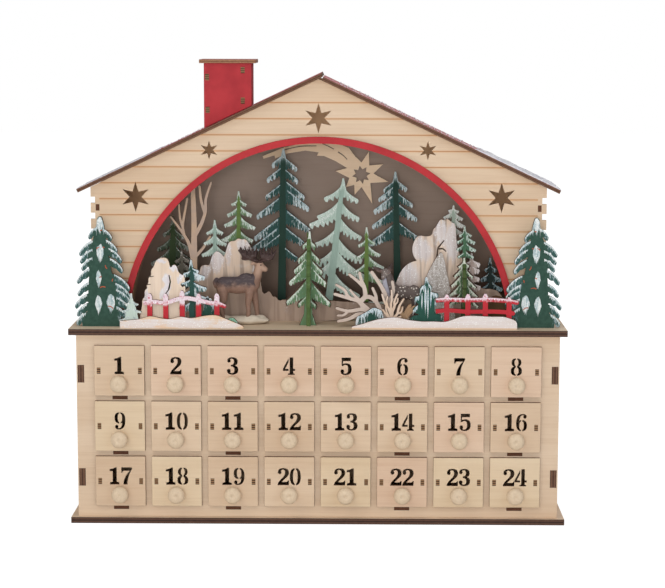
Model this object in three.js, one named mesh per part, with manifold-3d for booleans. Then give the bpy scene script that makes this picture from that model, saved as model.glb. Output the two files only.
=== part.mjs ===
// A wooden advent calendar: a long cabinet of 24 numbered drawers that carries a gabled house front.
// An arch in the house front opens on a winter forest of cut plywood, with a stag, a fawn and a comet.
// Millimetres, +Z up, front towards -Y, origin at the centre of the underside of the base board.

import * as THREE from 'three';
import { mergeVertices } from 'three/addons/utils/BufferGeometryUtils.js';
import Module from 'manifold-3d';

const wasm = await Module();
wasm.setup();

// Boards and plywood
const BOARD_D = 102;
const BOARD_T = 5;
const PLY = 3;
const SEAT_GAP = 0.3;
const TAB_PLAY = 0.1;

// Cabinet
const FRONT_SETBACK = 5;
const SIDE_OVERHANG = 5.5;
const CABINET_SIDE_T = 5;
const CABINET_SIDE_INSET = 1;
const CABINET_TAB_H = 14;
const CABINET_TAB_SPACING = 84;
const LAP_PLAY = 0.15;
const SHELF_TAB_W = 12;
const SHELF_TAB_COLUMNS = [0, 2, 5, 7];
const END_MARGIN = 6;
const FOOT_MARGIN = 9;
const HEAD_MARGIN = 8.4;

// Drawers
const ROWS = 3;
const COLUMNS = 8;
const COLUMN_GAP = 5;
const ROW_GAP = 4.3;
const TRAY_W = 35.8;
const TRAY_H = 36;
const FRONT_SIDE_LIP = 2.1;
const FRONT_TOP_LIP = 4.5;
const TRAY_PLY = 3;
const TRAY_PLAY = 0.5;
const TRAY_BACK_ROOM = 6;
const REST_GAP = 0.2;
const RUN_GAP = 0.3;
const KNOB_R = 6.8;
const KNOB_NECK_R = 3.4;
const KNOB_NECK_LENGTH = 4;
const KNOB_LENGTH = 11;
const KNOB_RISE = 10.5;
const KNOB_FLAT_R = 3;
const KNOB_SIDES = 10;

// House
const HOUSE_SETBACK = 29;
const HOUSE_SIDE_SETBACK = 15.5;
const HOUSE_BACK_SETBACK = 7;
const EAVE_RISE = 110.3;
const ROOF_SLOPE = THREE.MathUtils.degToRad(25.3);
const EAVE_OUT = 9.5;
const ROOF_FRONT_OUT = 5.5;
const ROOF_BACK_OUT = 1;
const HOUSE_SIDE_INSET = 4;
const HOUSE_TAB_H = 5;
const HOUSE_TAB_RISE = 30;
const HOUSE_TAB_DROP = 16.3;
const TOP_SCORE_DROP = 18.6;
const PLANK_PITCH = 12.8;
const NOTCH_DEPTH = 3.5;
const NOTCH_H = 5;
const NOTCH_UP = 1.6;
const PIER_W = 28;
const ARCH_DROP = 7.5;
const ARCH_BAND_LIP = 1;
const ARCH_BAND_W = 5.4;
const ARCH_BAND_END_RISE = 24;
const ARCH_SEGMENTS = 20;
const STAR_POINTS = 6;
const STAR_WAIST = 0.4;
const TOP_STAR = { drop: 30.8, tip: 11.8 };
const SMALL_STAR = { fromEnd: 95, drop: 15.2, tip: 7.5 };
const CORNER_STAR = { fromEnd: 36, drop: 24.8, tip: 12 };

// Chimney
const CHIMNEY_X = -72.5;
const CHIMNEY_W = 38;
const CHIMNEY_D = 32;
const CHIMNEY_SETBACK = 14;
const CHIMNEY_OVER_APEX = 12.2;
const CHIMNEY_WALL = 3;
const CHIMNEY_CAP_OUT = 3.5;
const CHIMNEY_CAP_T = 3;

// Scenery in front of the house, as each plate's distance from the deck's front edge
const BANK_ROW = 6;
const CORNER_ROW = 14.8;
const CENTRE_TREE_ROW = 26;
const STAG_ROW = 32;
const FAWN_CLEARANCE = 0.5;
const INNER_ROWS = 3;
const CORNER_TREE_INSET = 2.5;
const CROSSED_FIR_FROM_ARCH = 36.5;
const GLUE_LAP = 0.2;
const TWIG_TAPER = 0.6;

// Colours, as sRGB, with roughness
const BIRCH = { color: 0xe0c6a4, roughness: 0.7 };
const PALE_KNOB = { color: 0xe6d2b4, roughness: 0.5 };
const BURNT = { color: 0x5a3a2b, roughness: 0.8 };
const TAUPE = { color: 0x7b6a5c, roughness: 0.9 };
const RED = { color: 0xb4323a, roughness: 0.6 };
const SNOWY_RED = { color: 0xb8777a, roughness: 0.7 };
const FIR_GREEN = { color: 0x2f5146, roughness: 0.8 };
const OLIVE_GREEN = { color: 0x5f7d46, roughness: 0.8 };
const MINT = { color: 0xa9bfae, roughness: 0.8 };
const ROCK = { color: 0xcdb59c, roughness: 0.85 };
const STAG_BROWN = { color: 0x6b5040, roughness: 0.6 };
const FAWN_BROWN = { color: 0x5a4c46, roughness: 0.6 };

// Levels and faces that follow from the sizes above
const DRAWER_FRONT_W = TRAY_W + 2 * FRONT_SIDE_LIP;
const DRAWER_FRONT_H = TRAY_H + FRONT_TOP_LIP;
const COLUMN_PITCH = DRAWER_FRONT_W + COLUMN_GAP;
const ROW_PITCH = DRAWER_FRONT_H + ROW_GAP;
const INNER_HALF_W = (COLUMNS * COLUMN_PITCH) / 2 + END_MARGIN;
const CABINET_W = 2 * (INNER_HALF_W + CABINET_SIDE_T + CABINET_SIDE_INSET);
const CABINET_H = FOOT_MARGIN + ROWS * ROW_PITCH - ROW_GAP + HEAD_MARGIN;
const BOARD_W = CABINET_W + 2 * SIDE_OVERHANG;
const BOARD_FRONT = -BOARD_D / 2;
const CABINET_FOOT = BOARD_T;
const CABINET_TOP = BOARD_T + CABINET_H;
const DECK = CABINET_TOP + BOARD_T;
const CABINET_FRONT = BOARD_FRONT + FRONT_SETBACK;
const CABINET_BACK = -CABINET_FRONT;
const INNER_FRONT = CABINET_FRONT + PLY;
const INNER_BACK = CABINET_BACK - PLY;
const HOUSE_W = BOARD_W - 2 * HOUSE_SIDE_SETBACK;
const HOUSE_FRONT = BOARD_FRONT + HOUSE_SETBACK;
const HOUSE_BACK = -BOARD_FRONT - HOUSE_BACK_SETBACK;
const BACKDROP = HOUSE_BACK - PLY;
const HOUSE_TAB_RISES = [EAVE_RISE - HOUSE_TAB_DROP, HOUSE_TAB_RISE];
const EAVE = DECK + EAVE_RISE;
const SLOPE_COS = Math.cos(ROOF_SLOPE);
const SLOPE_SIN = Math.sin(ROOF_SLOPE);
const SLOPE_TAN = Math.tan(ROOF_SLOPE);
const APEX = EAVE + (HOUSE_W / 2) * SLOPE_TAN;
const ROOF_UNDERSIDE_APEX = APEX + SEAT_GAP / SLOPE_COS;
const ARCH_CENTRE = DECK - ARCH_DROP;
const ARCH_R = HOUSE_W / 2 - PIER_W;

const calendar = new THREE.Group();
calendar.name = 'advent_calendar';

// Names a geometry as one piece of the calendar and gives it its colour.
function addPiece(name, geometry, finish) {
  const mesh = new THREE.Mesh(geometry, new THREE.MeshStandardMaterial({ ...finish, metalness: 0 }));
  mesh.name = name;
  calendar.add(mesh);
}

// Turns a closed geometry into a solid that can be cut and joined.
function toSolid(geometry) {
  geometry.deleteAttribute('normal');
  geometry.deleteAttribute('uv');
  const merged = mergeVertices(geometry, 1e-4);
  return new wasm.Manifold(new wasm.Mesh({
    numProp: 3,
    vertProperties: new Float32Array(merged.attributes.position.array),
    triVerts: new Uint32Array(merged.index.array),
  }));
}

// Turns a solid back into a geometry.
function toGeometry(solid) {
  const mesh = solid.getMesh();
  const geometry = new THREE.BufferGeometry();
  geometry.setAttribute('position', new THREE.BufferAttribute(mesh.vertProperties, 3));
  geometry.setIndex(new THREE.BufferAttribute(mesh.triVerts, 1));
  return geometry;
}

// Joins geometries that overlap into one closed geometry.
function join(...geometries) {
  return toGeometry(geometries.map(toSolid).reduce((whole, part) => whole.add(part)));
}

// Cuts the later geometries out of the first one.
function cut(geometry, ...tools) {
  return toGeometry(tools.map(toSolid).reduce((rest, tool) => rest.subtract(tool), toSolid(geometry)));
}

// A box between two corners.
function block(x0, x1, y0, y1, z0, z1) {
  const geometry = new THREE.BoxGeometry(x1 - x0, y1 - y0, z1 - z0);
  return geometry.translate((x0 + x1) / 2, (y0 + y1) / 2, (z0 + z1) / 2);
}

function polygon(points) {
  return new THREE.Shape(points.map(([x, y]) => new THREE.Vector2(x, y)));
}

function rectangle(x0, x1, z0, z1) {
  return polygon([[x0, z0], [x1, z0], [x1, z1], [x0, z1]]);
}

// An upright plate seen from the front: a shape in X and Z, from its front face back by its thickness.
function uprightPlate(shape, frontFace, thickness = PLY) {
  const geometry = new THREE.ExtrudeGeometry(shape, {
    depth: thickness, bevelEnabled: false, curveSegments: ARCH_SEGMENTS,
  });
  return geometry.rotateX(Math.PI / 2).translate(0, frontFace + thickness, 0);
}

// An upright plate with openings cut right through it.
function piercedPlate(outline, openings, frontFace, thickness = PLY) {
  const cutters = openings.map((opening) => uprightPlate(opening, frontFace - thickness, 3 * thickness));
  return cut(uprightPlate(outline, frontFace, thickness), ...cutters);
}

// A plate seen from the side: a shape in Y and Z, from its left face by its thickness.
function sidePlate(shape, leftFace, thickness) {
  const geometry = new THREE.ExtrudeGeometry(shape, { depth: thickness, bevelEnabled: false });
  return geometry.rotateX(Math.PI / 2).rotateZ(Math.PI / 2).translate(leftFace, 0, 0);
}

// A level plate seen from above: a shape in X and Y, from its underside up by its thickness.
function levelPlate(shape, underside, thickness) {
  const geometry = new THREE.ExtrudeGeometry(shape, { depth: thickness, bevelEnabled: false });
  return geometry.translate(0, 0, underside);
}

const rowFoot = (row) => CABINET_FOOT + FOOT_MARGIN + (ROWS - 1 - row) * ROW_PITCH;
const columnX = (column) => (column - (COLUMNS - 1) / 2) * COLUMN_PITCH;
const shelfTop = (row) => rowFoot(row) - RUN_GAP;
const allRows = [...Array(ROWS).keys()];
const allColumns = [...Array(COLUMNS).keys()];

// Base board and deck board
function makeBoards() {
  const halfW = BOARD_W / 2;
  addPiece('base_board', block(-halfW, halfW, BOARD_FRONT, -BOARD_FRONT, 0, BOARD_T), BURNT);
  addPiece('deck_board', block(-halfW, halfW, BOARD_FRONT, -BOARD_FRONT, CABINET_TOP, DECK), BIRCH);
}

const cabinetTabMiddles = [-1, 1].map((side) => CABINET_FOOT + (CABINET_H + side * CABINET_TAB_SPACING) / 2);

// Slots that take the cabinet sides' tabs, in the front and back panels
function cabinetTabSlots() {
  const slots = [];
  for (const side of [-1, 1]) {
    const near = side * (INNER_HALF_W - TAB_PLAY);
    const far = side * (INNER_HALF_W + CABINET_SIDE_T + TAB_PLAY);
    for (const middle of cabinetTabMiddles) {
      const half = CABINET_TAB_H / 2 + TAB_PLAY;
      slots.push(rectangle(Math.min(near, far), Math.max(near, far), middle - half, middle + half));
    }
  }
  return slots;
}

// The hole for one tray, with a notch under it where the shelf's tab comes through
function trayHole(row, column) {
  const middle = columnX(column);
  const half = TRAY_W / 2 + TRAY_PLAY;
  const foot = shelfTop(row);
  const top = rowFoot(row) + TRAY_H + TRAY_PLAY;
  if (!SHELF_TAB_COLUMNS.includes(column)) {
    return rectangle(middle - half, middle + half, foot, top);
  }
  const tab = SHELF_TAB_W / 2 + TAB_PLAY;
  const notch = foot - PLY - TAB_PLAY;
  return polygon([
    [middle - tab, notch], [middle + tab, notch], [middle + tab, foot], [middle + half, foot],
    [middle + half, top], [middle - half, top], [middle - half, foot], [middle - tab, foot],
  ]);
}

function makeCabinetPanels() {
  const halfW = CABINET_W / 2;
  const panel = rectangle(-halfW, halfW, CABINET_FOOT, CABINET_TOP);
  const trayHoles = allRows.flatMap((row) => allColumns.map((column) => trayHole(row, column)));
  addPiece('cabinet_front', piercedPlate(panel, [...cabinetTabSlots(), ...trayHoles], CABINET_FRONT), BIRCH);
  addPiece('cabinet_back', piercedPlate(panel, cabinetTabSlots(), INNER_BACK), BIRCH);
}

// One side panel, whose tabs come through the front and back panels
function cabinetSide(leftFace) {
  const [low, high] = cabinetTabMiddles;
  const half = CABINET_TAB_H / 2;
  const frontEdge = [
    [INNER_FRONT, CABINET_TOP],
    [INNER_FRONT, high + half], [CABINET_FRONT, high + half],
    [CABINET_FRONT, high - half], [INNER_FRONT, high - half],
    [INNER_FRONT, low + half], [CABINET_FRONT, low + half],
    [CABINET_FRONT, low - half], [INNER_FRONT, low - half],
    [INNER_FRONT, CABINET_FOOT],
  ];
  const backEdge = frontEdge.map(([y, z]) => [-y, z]).reverse();
  return sidePlate(polygon([...frontEdge, ...backEdge]), leftFace, CABINET_SIDE_T);
}

function makeCabinetSides() {
  addPiece('cabinet_side_left', cabinetSide(-INNER_HALF_W - CABINET_SIDE_T), BIRCH);
  addPiece('cabinet_side_right', cabinetSide(INNER_HALF_W), BIRCH);
}

const dividerXs = allColumns.slice(1).map((column) => columnX(column) - COLUMN_PITCH / 2);

// Shelves, one under each row, slotted from the back for the dividers, with tabs through the front panel
function makeShelves() {
  const lap = PLY / 2 + LAP_PLAY;
  for (const row of allRows) {
    const frontEdge = SHELF_TAB_COLUMNS.flatMap((column) => {
      const x = columnX(column);
      const half = SHELF_TAB_W / 2;
      return [
        [x - half, INNER_FRONT], [x - half, CABINET_FRONT], [x + half, CABINET_FRONT], [x + half, INNER_FRONT],
      ];
    });
    const backEdge = [...dividerXs].reverse().flatMap((x) => (
      [[x + lap, INNER_BACK], [x + lap, 0], [x - lap, 0], [x - lap, INNER_BACK]]));
    const outline = polygon([
      [-INNER_HALF_W, INNER_FRONT], ...frontEdge, [INNER_HALF_W, INNER_FRONT],
      [INNER_HALF_W, INNER_BACK], ...backEdge, [-INNER_HALF_W, INNER_BACK],
    ]);
    addPiece(`shelf_${row + 1}`, levelPlate(outline, shelfTop(row) - PLY, PLY), BIRCH);
  }
}

// Upright dividers between the columns, slotted from the front for the shelves
function makeDividers() {
  const frontEdge = allRows.flatMap((row) => {
    const top = shelfTop(row) + LAP_PLAY;
    const bottom = shelfTop(row) - PLY - LAP_PLAY;
    return [[INNER_FRONT, top], [LAP_PLAY, top], [LAP_PLAY, bottom], [INNER_FRONT, bottom]];
  });
  const outline = polygon([
    [INNER_FRONT, CABINET_TOP], ...frontEdge, [INNER_FRONT, CABINET_FOOT],
    [INNER_BACK, CABINET_FOOT], [INNER_BACK, CABINET_TOP],
  ]);
  dividerXs.forEach((x, index) => {
    addPiece(`divider_${index + 1}`, sidePlate(outline, x - PLY / 2, PLY), BIRCH);
  });
}

// A turned knob on its neck, from the drawer front's face towards the viewer
function knob(x, face, z) {
  const headLength = KNOB_LENGTH - KNOB_NECK_LENGTH;
  const profile = [
    [0, 0], [KNOB_NECK_R, 0], [KNOB_NECK_R, KNOB_NECK_LENGTH], [KNOB_R, KNOB_NECK_LENGTH + headLength * 0.35],
    [KNOB_R * 0.88, KNOB_NECK_LENGTH + headLength * 0.75], [KNOB_FLAT_R, KNOB_LENGTH], [0, KNOB_LENGTH],
  ].map(([r, along]) => new THREE.Vector2(r, along));
  return new THREE.LatheGeometry(profile, KNOB_SIDES).rotateX(Math.PI).translate(x, face, z);
}

// A drawer: an open tray behind a front panel that carries the knob
function drawer(row, column) {
  const x = columnX(column);
  const foot = rowFoot(row);
  const back = CABINET_FRONT - REST_GAP;
  const face = back - PLY;
  const tail = INNER_BACK - TRAY_BACK_ROOM;
  const halfFront = DRAWER_FRONT_W / 2;
  const halfTray = TRAY_W / 2;
  const front = block(x - halfFront, x + halfFront, face, back, foot, foot + DRAWER_FRONT_H);
  const tray = block(x - halfTray, x + halfTray, back - GLUE_LAP, tail, foot, foot + TRAY_H);
  const inside = block(
    x - halfTray + TRAY_PLY, x + halfTray - TRAY_PLY, back, tail - TRAY_PLY,
    foot + TRAY_PLY, foot + TRAY_H + TRAY_PLY);
  const body = toSolid(tray).subtract(toSolid(inside)).add(toSolid(front));
  return toGeometry(body.add(toSolid(knob(x, face + GLUE_LAP, foot + KNOB_RISE))));
}

function makeDrawers() {
  for (const row of allRows) {
    for (const column of allColumns) {
      const number = String(row * COLUMNS + column + 1).padStart(2, '0');
      addPiece(`drawer_${number}`, drawer(row, column), column % 2 ? BIRCH : PALE_KNOB);
    }
  }
}

function starShape(x, z, tip, points = STAR_POINTS, waist = STAR_WAIST) {
  const corners = [...Array(2 * points).keys()].map((index) => {
    const reach = index % 2 ? tip * waist : tip;
    const angle = Math.PI / 2 + (index * Math.PI) / points;
    return [x + reach * Math.cos(angle), z + reach * Math.sin(angle)];
  });
  return polygon(corners);
}

const houseSideLeft = -HOUSE_W / 2 + HOUSE_SIDE_INSET;

// Slots that take the house sides' tabs, in the house front and back
function houseTabSlots() {
  return [-1, 1].flatMap((side) => HOUSE_TAB_RISES.map((rise) => {
    const outer = side * (HOUSE_W / 2 - HOUSE_SIDE_INSET + TAB_PLAY);
    const inner = side * (HOUSE_W / 2 - HOUSE_SIDE_INSET - PLY - TAB_PLAY);
    const foot = DECK + rise - HOUSE_TAB_H / 2 - TAB_PLAY;
    return rectangle(Math.min(outer, inner), Math.max(outer, inner), foot, foot + HOUSE_TAB_H + 2 * TAB_PLAY);
  }));
}

// The house front's right edge, going up, with a notch at each score line between the deck and the eave
function notchedEdge() {
  const half = HOUSE_W / 2;
  const topScore = APEX - TOP_SCORE_DROP;
  const scoreCount = Math.floor((topScore - DECK) / PLANK_PITCH);
  const notchTops = [...Array(scoreCount + 1).keys()]
    .map((plank) => topScore - plank * PLANK_PITCH + NOTCH_UP)
    .filter((top) => top < EAVE && top - NOTCH_H > DECK)
    .reverse();
  const edge = [[half, DECK]];
  for (const top of notchTops) {
    const bottom = top - NOTCH_H;
    edge.push([half, bottom], [half - NOTCH_DEPTH, bottom], [half - NOTCH_DEPTH, top], [half, top]);
  }
  edge.push([half, EAVE]);
  return edge;
}

// The height of the house front's sloping top edge
const gableTop = (x) => APEX - Math.abs(x) * SLOPE_TAN;

// Stars cut through the house front: one below the apex, and two pairs down the slopes
function houseStars() {
  const pairs = [SMALL_STAR, CORNER_STAR].flatMap(({ fromEnd, drop, tip }) => (
    [-1, 1].map((side) => ({ x: side * (HOUSE_W / 2 - fromEnd), drop, tip }))));
  return [{ x: 0, ...TOP_STAR }, ...pairs].map(({ x, drop, tip }) => starShape(x, gableTop(x) - drop, tip));
}

// The gabled outline with the arch left open down to the deck
function makeHouseFront() {
  const right = notchedEdge();
  const left = right.map(([x, z]) => [-x, z]).reverse();
  const outline = new THREE.Shape();
  const footAngle = Math.asin(ARCH_DROP / ARCH_R);
  const corners = [...right, [0, APEX], ...left];
  outline.moveTo(...corners[0]);
  corners.slice(1).forEach(([x, z]) => outline.lineTo(x, z));
  outline.lineTo(-ARCH_R * Math.cos(footAngle), DECK);
  outline.absarc(0, ARCH_CENTRE, ARCH_R, Math.PI - footAngle, footAngle, true);
  addPiece('house_front', piercedPlate(outline, [...houseStars(), ...houseTabSlots()], HOUSE_FRONT), BIRCH);
}

// The painted band round the arch, glued on the front, its ends cut level
function makeArchBand() {
  const innerR = ARCH_R - ARCH_BAND_LIP;
  const outerR = innerR + ARCH_BAND_W;
  const endHeight = ARCH_BAND_END_RISE + ARCH_DROP;
  const outerAngle = Math.asin(endHeight / outerR);
  const innerAngle = Math.asin(endHeight / innerR);
  const band = new THREE.Shape();
  band.absarc(0, ARCH_CENTRE, outerR, outerAngle, Math.PI - outerAngle, false);
  band.absarc(0, ARCH_CENTRE, innerR, Math.PI - innerAngle, innerAngle, true);
  addPiece('arch_band', uprightPlate(band, HOUSE_FRONT - PLY), RED);
}

function makeHouseBack() {
  const half = HOUSE_W / 2;
  const outline = polygon([[-half, DECK], [half, DECK], [half, EAVE], [0, APEX], [-half, EAVE]]);
  addPiece('house_back', piercedPlate(outline, houseTabSlots(), BACKDROP), TAUPE);
}

// One side wall of the house, whose tabs come through the front and the back
function houseSide(leftFace) {
  const top = EAVE + HOUSE_SIDE_INSET * SLOPE_TAN - SEAT_GAP;
  const front = HOUSE_FRONT + PLY;
  const tab = HOUSE_TAB_H / 2;
  const corners = [[front, top]];
  for (const rise of HOUSE_TAB_RISES) {
    const middle = DECK + rise;
    corners.push(
      [front, middle + tab], [HOUSE_FRONT, middle + tab], [HOUSE_FRONT, middle - tab], [front, middle - tab]);
  }
  corners.push([front, DECK], [BACKDROP, DECK]);
  for (const rise of [...HOUSE_TAB_RISES].reverse()) {
    const middle = DECK + rise;
    corners.push(
      [BACKDROP, middle - tab], [HOUSE_BACK, middle - tab], [HOUSE_BACK, middle + tab],
      [BACKDROP, middle + tab]);
  }
  corners.push([BACKDROP, top]);
  return sidePlate(polygon(corners), leftFace, PLY);
}

function makeHouseSides() {
  addPiece('house_side_left', houseSide(houseSideLeft), BIRCH);
  addPiece('house_side_right', houseSide(-houseSideLeft - PLY), BIRCH);
}

// Roof boards: the left one runs over the end of the right one at the ridge
function makeRoof() {
  const length = (HOUSE_W / 2 + EAVE_OUT) / SLOPE_COS;
  const lap = PLY / Math.sin(2 * ROOF_SLOPE);
  const rightStart = lap - PLY * SLOPE_TAN + SEAT_GAP;
  const front = HOUSE_FRONT - ROOF_FRONT_OUT;
  const depth = HOUSE_BACK + ROOF_BACK_OUT - front;
  // A point on a roof board: how far along the slope from the ridge, and how far above the underside.
  const at = (side, along, above) => [
    side * (along * SLOPE_COS + above * SLOPE_SIN),
    ROOF_UNDERSIDE_APEX - along * SLOPE_SIN + above * SLOPE_COS,
  ];
  const left = polygon([at(-1, -lap, 0), at(-1, -lap, PLY), at(-1, length, PLY), at(-1, length, 0)]);
  const right = polygon([at(1, rightStart, 0), at(1, length, 0), at(1, length, PLY), at(1, rightStart, PLY)]);
  addPiece('roof_left', uprightPlate(left, front, depth), RED);
  addPiece('roof_right', uprightPlate(right, front, depth), RED);
}

// Chimney: a hollow stack cut to the slope, with a flat cap
function makeChimney() {
  const left = CHIMNEY_X - CHIMNEY_W / 2;
  const right = CHIMNEY_X + CHIMNEY_W / 2;
  const front = HOUSE_FRONT - ROOF_FRONT_OUT + CHIMNEY_SETBACK;
  const back = front + CHIMNEY_D;
  const top = APEX + CHIMNEY_OVER_APEX;
  const roofTopAt = (x) => ROOF_UNDERSIDE_APEX + (PLY + SEAT_GAP) / SLOPE_COS + x * SLOPE_TAN;
  const outer = polygon([[left, roofTopAt(left)], [right, roofTopAt(right)], [right, top], [left, top]]);
  const wall = CHIMNEY_WALL;
  const flue = block(left + wall, right - wall, front + wall, back - wall, EAVE, top + wall);
  const stack = cut(uprightPlate(outer, front, CHIMNEY_D), flue);
  addPiece('chimney_stack', stack, RED);
  const out = CHIMNEY_CAP_OUT;
  const cap = block(left - out, right + out, front - out, back + out, top, top + CHIMNEY_CAP_T);
  addPiece('chimney_cap', cap, BURNT);
}

const rowFace = (row) => BOARD_FRONT + row;

// The front face of a plate inside the house: the rows share the depth behind the house front evenly
function innerRowFace(row) {
  const front = HOUSE_FRONT + PLY;
  return front + (row * (BACKDROP - front)) / (INNER_ROWS + 1);
}

// A fir cut from plywood: a trunk foot, then branch tips that widen downwards in steps
function firShape({ x, foot, top, halfW, tiers, trunk = 3, skirt = 0.1, lean = 0 }) {
  const height = top - foot;
  const crownFoot = foot + height * skirt;
  const step = (top - crownFoot) / (tiers + 0.6);
  const side = [];
  for (let tier = 0; tier < tiers; tier += 1) {
    const tipZ = crownFoot + tier * step;
    const reach = halfW * (1 - (0.85 * tier) / tiers);
    const neck = Math.max(trunk * 0.7, reach * 0.52);
    side.push([reach, tipZ], [reach * 0.96, tipZ + step * 0.3], [neck, tipZ + step * 0.95]);
  }
  const bend = (z) => x + (lean * (z - foot)) / height;
  const right = [[trunk, foot], [trunk, crownFoot + step * 0.15], ...side];
  const left = right.map(([r, z]) => [-r, z]).reverse();
  return polygon([...right, [0, top], ...left].map(([r, z]) => [bend(z) + r, z]));
}

// A plate of several cut-outs in one plane, held together by a strip along the deck
function plateOf(shapes, frontFace, thickness = PLY) {
  return shapes.map((shape) => uprightPlate(shape, frontFace, thickness));
}

// Corner trees, one at each front corner of the deck
function makeCornerTrees() {
  const tree = { foot: DECK, top: DECK + 88, halfW: 22, tiers: 7, trunk: 15, skirt: 0.03 };
  const offset = BOARD_W / 2 - tree.halfW - CORNER_TREE_INSET;
  const face = rowFace(CORNER_ROW);
  addPiece('corner_tree_left', uprightPlate(firShape({ ...tree, x: -offset }), face), FIR_GREEN);
  addPiece('corner_tree_right', uprightPlate(firShape({ ...tree, x: offset }), face), FIR_GREEN);
}

// Two fir plates halved into each other at right angles
function crossedFir(tree, middleY) {
  const across = uprightPlate(firShape(tree), middleY - PLY / 2);
  const along = uprightPlate(firShape({ ...tree, x: 0 }), -PLY / 2).rotateZ(Math.PI / 2);
  along.translate(tree.x, middleY, 0);
  return [across, along];
}

function makeCentreTree() {
  const tree = { x: -8, foot: DECK, top: DECK + 77, halfW: 18, tiers: 5, trunk: 4.5, skirt: 0.18 };
  addPiece('centre_tree', join(...crossedFir(tree, rowFace(CENTRE_TREE_ROW))), OLIVE_GREEN);
}

// Places whole outlines that are given as rises above the deck
const onDeck = (points) => polygon(points.map(([x, rise]) => [x, DECK + rise]));

// A fence: posts on a low strip, with level rails, all in one plane
function fencePlates({ left, right, stripRise, posts, postHalfW, postTops, rails }, frontFace) {
  const shapes = [
    rectangle(left, right, DECK, DECK + stripRise),
    ...rails.map(([low, high]) => rectangle(left, right, DECK + low, DECK + high)),
    ...posts.map((x, index) => rectangle(x - postHalfW, x + postHalfW, DECK, DECK + postTops[index])),
  ];
  return plateOf(shapes, frontFace);
}

// Left garden: snow bank, fence behind it, then a rock and two small firs, glued face to face
function makeGardenLeft() {
  const fence = {
    left: -139.5, right: -74, stripRise: 6, posts: [-134, -121, -108, -94.5, -80], postHalfW: 2.1,
    postTops: [27, 27, 29, 27, 27], rails: [[17, 21]],
  };
  const bank = onDeck([
    [-158, 0], [-59, 0], [-62, 3], [-71, 6.5], [-81, 9.5], [-93, 9.5], [-104, 8], [-114, 8.5], [-122, 8],
    [-133, 9.5], [-142, 8], [-148, 5.5], [-158, 4],
  ]);
  const rock = onDeck([
    [-141, 0], [-105, 0], [-106, 16], [-107, 27], [-109.5, 38], [-112, 46], [-114.6, 50], [-117, 49],
    [-118.5, 46], [-122.4, 55.5], [-126, 53], [-128.5, 47], [-131, 38], [-133.4, 33], [-136, 25], [-138, 15],
  ]);
  const fir = firShape({ x: -98, foot: DECK, top: DECK + 54, halfW: 12, tiers: 5, trunk: 3, skirt: 0.25 });
  const bush = onDeck([[-93, 0], [-81, 0], [-82, 12], [-85, 20], [-88, 25], [-91, 20], [-93, 12]]);
  const mint = firShape({ x: -148, foot: DECK, top: DECK + 28, halfW: 8.5, tiers: 4, trunk: 2.5, skirt: 0.25 });
  const layer = PLY - GLUE_LAP;
  const front = rowFace(BANK_ROW);
  addPiece('garden_left', join(
    ...plateOf([bank], front),
    ...plateOf([mint], front + layer),
    ...fencePlates(fence, front + layer),
    ...plateOf([rock, fir, bush], front + 2 * layer),
  ), SNOWY_RED);
}

// A bare bush: a trunk with straight tapering twigs, each given by its foot, tip and half width
function twigPlates(twigs, frontFace) {
  return twigs.map(([[x0, z0], [x1, z1], half]) => {
    const length = Math.hypot(x1 - x0, z1 - z0);
    const across = [((z1 - z0) / length) * half, ((x0 - x1) / length) * half];
    const corners = [
      [x0 - across[0], z0 - across[1]], [x0 + across[0], z0 + across[1]],
      [x1 + across[0] * TWIG_TAPER, z1 + across[1] * TWIG_TAPER],
      [x1 - across[0] * TWIG_TAPER, z1 - across[1] * TWIG_TAPER],
    ];
    return uprightPlate(onDeck(corners.map(([x, rise]) => [x, Math.max(0, rise)])), frontFace);
  });
}

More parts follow.
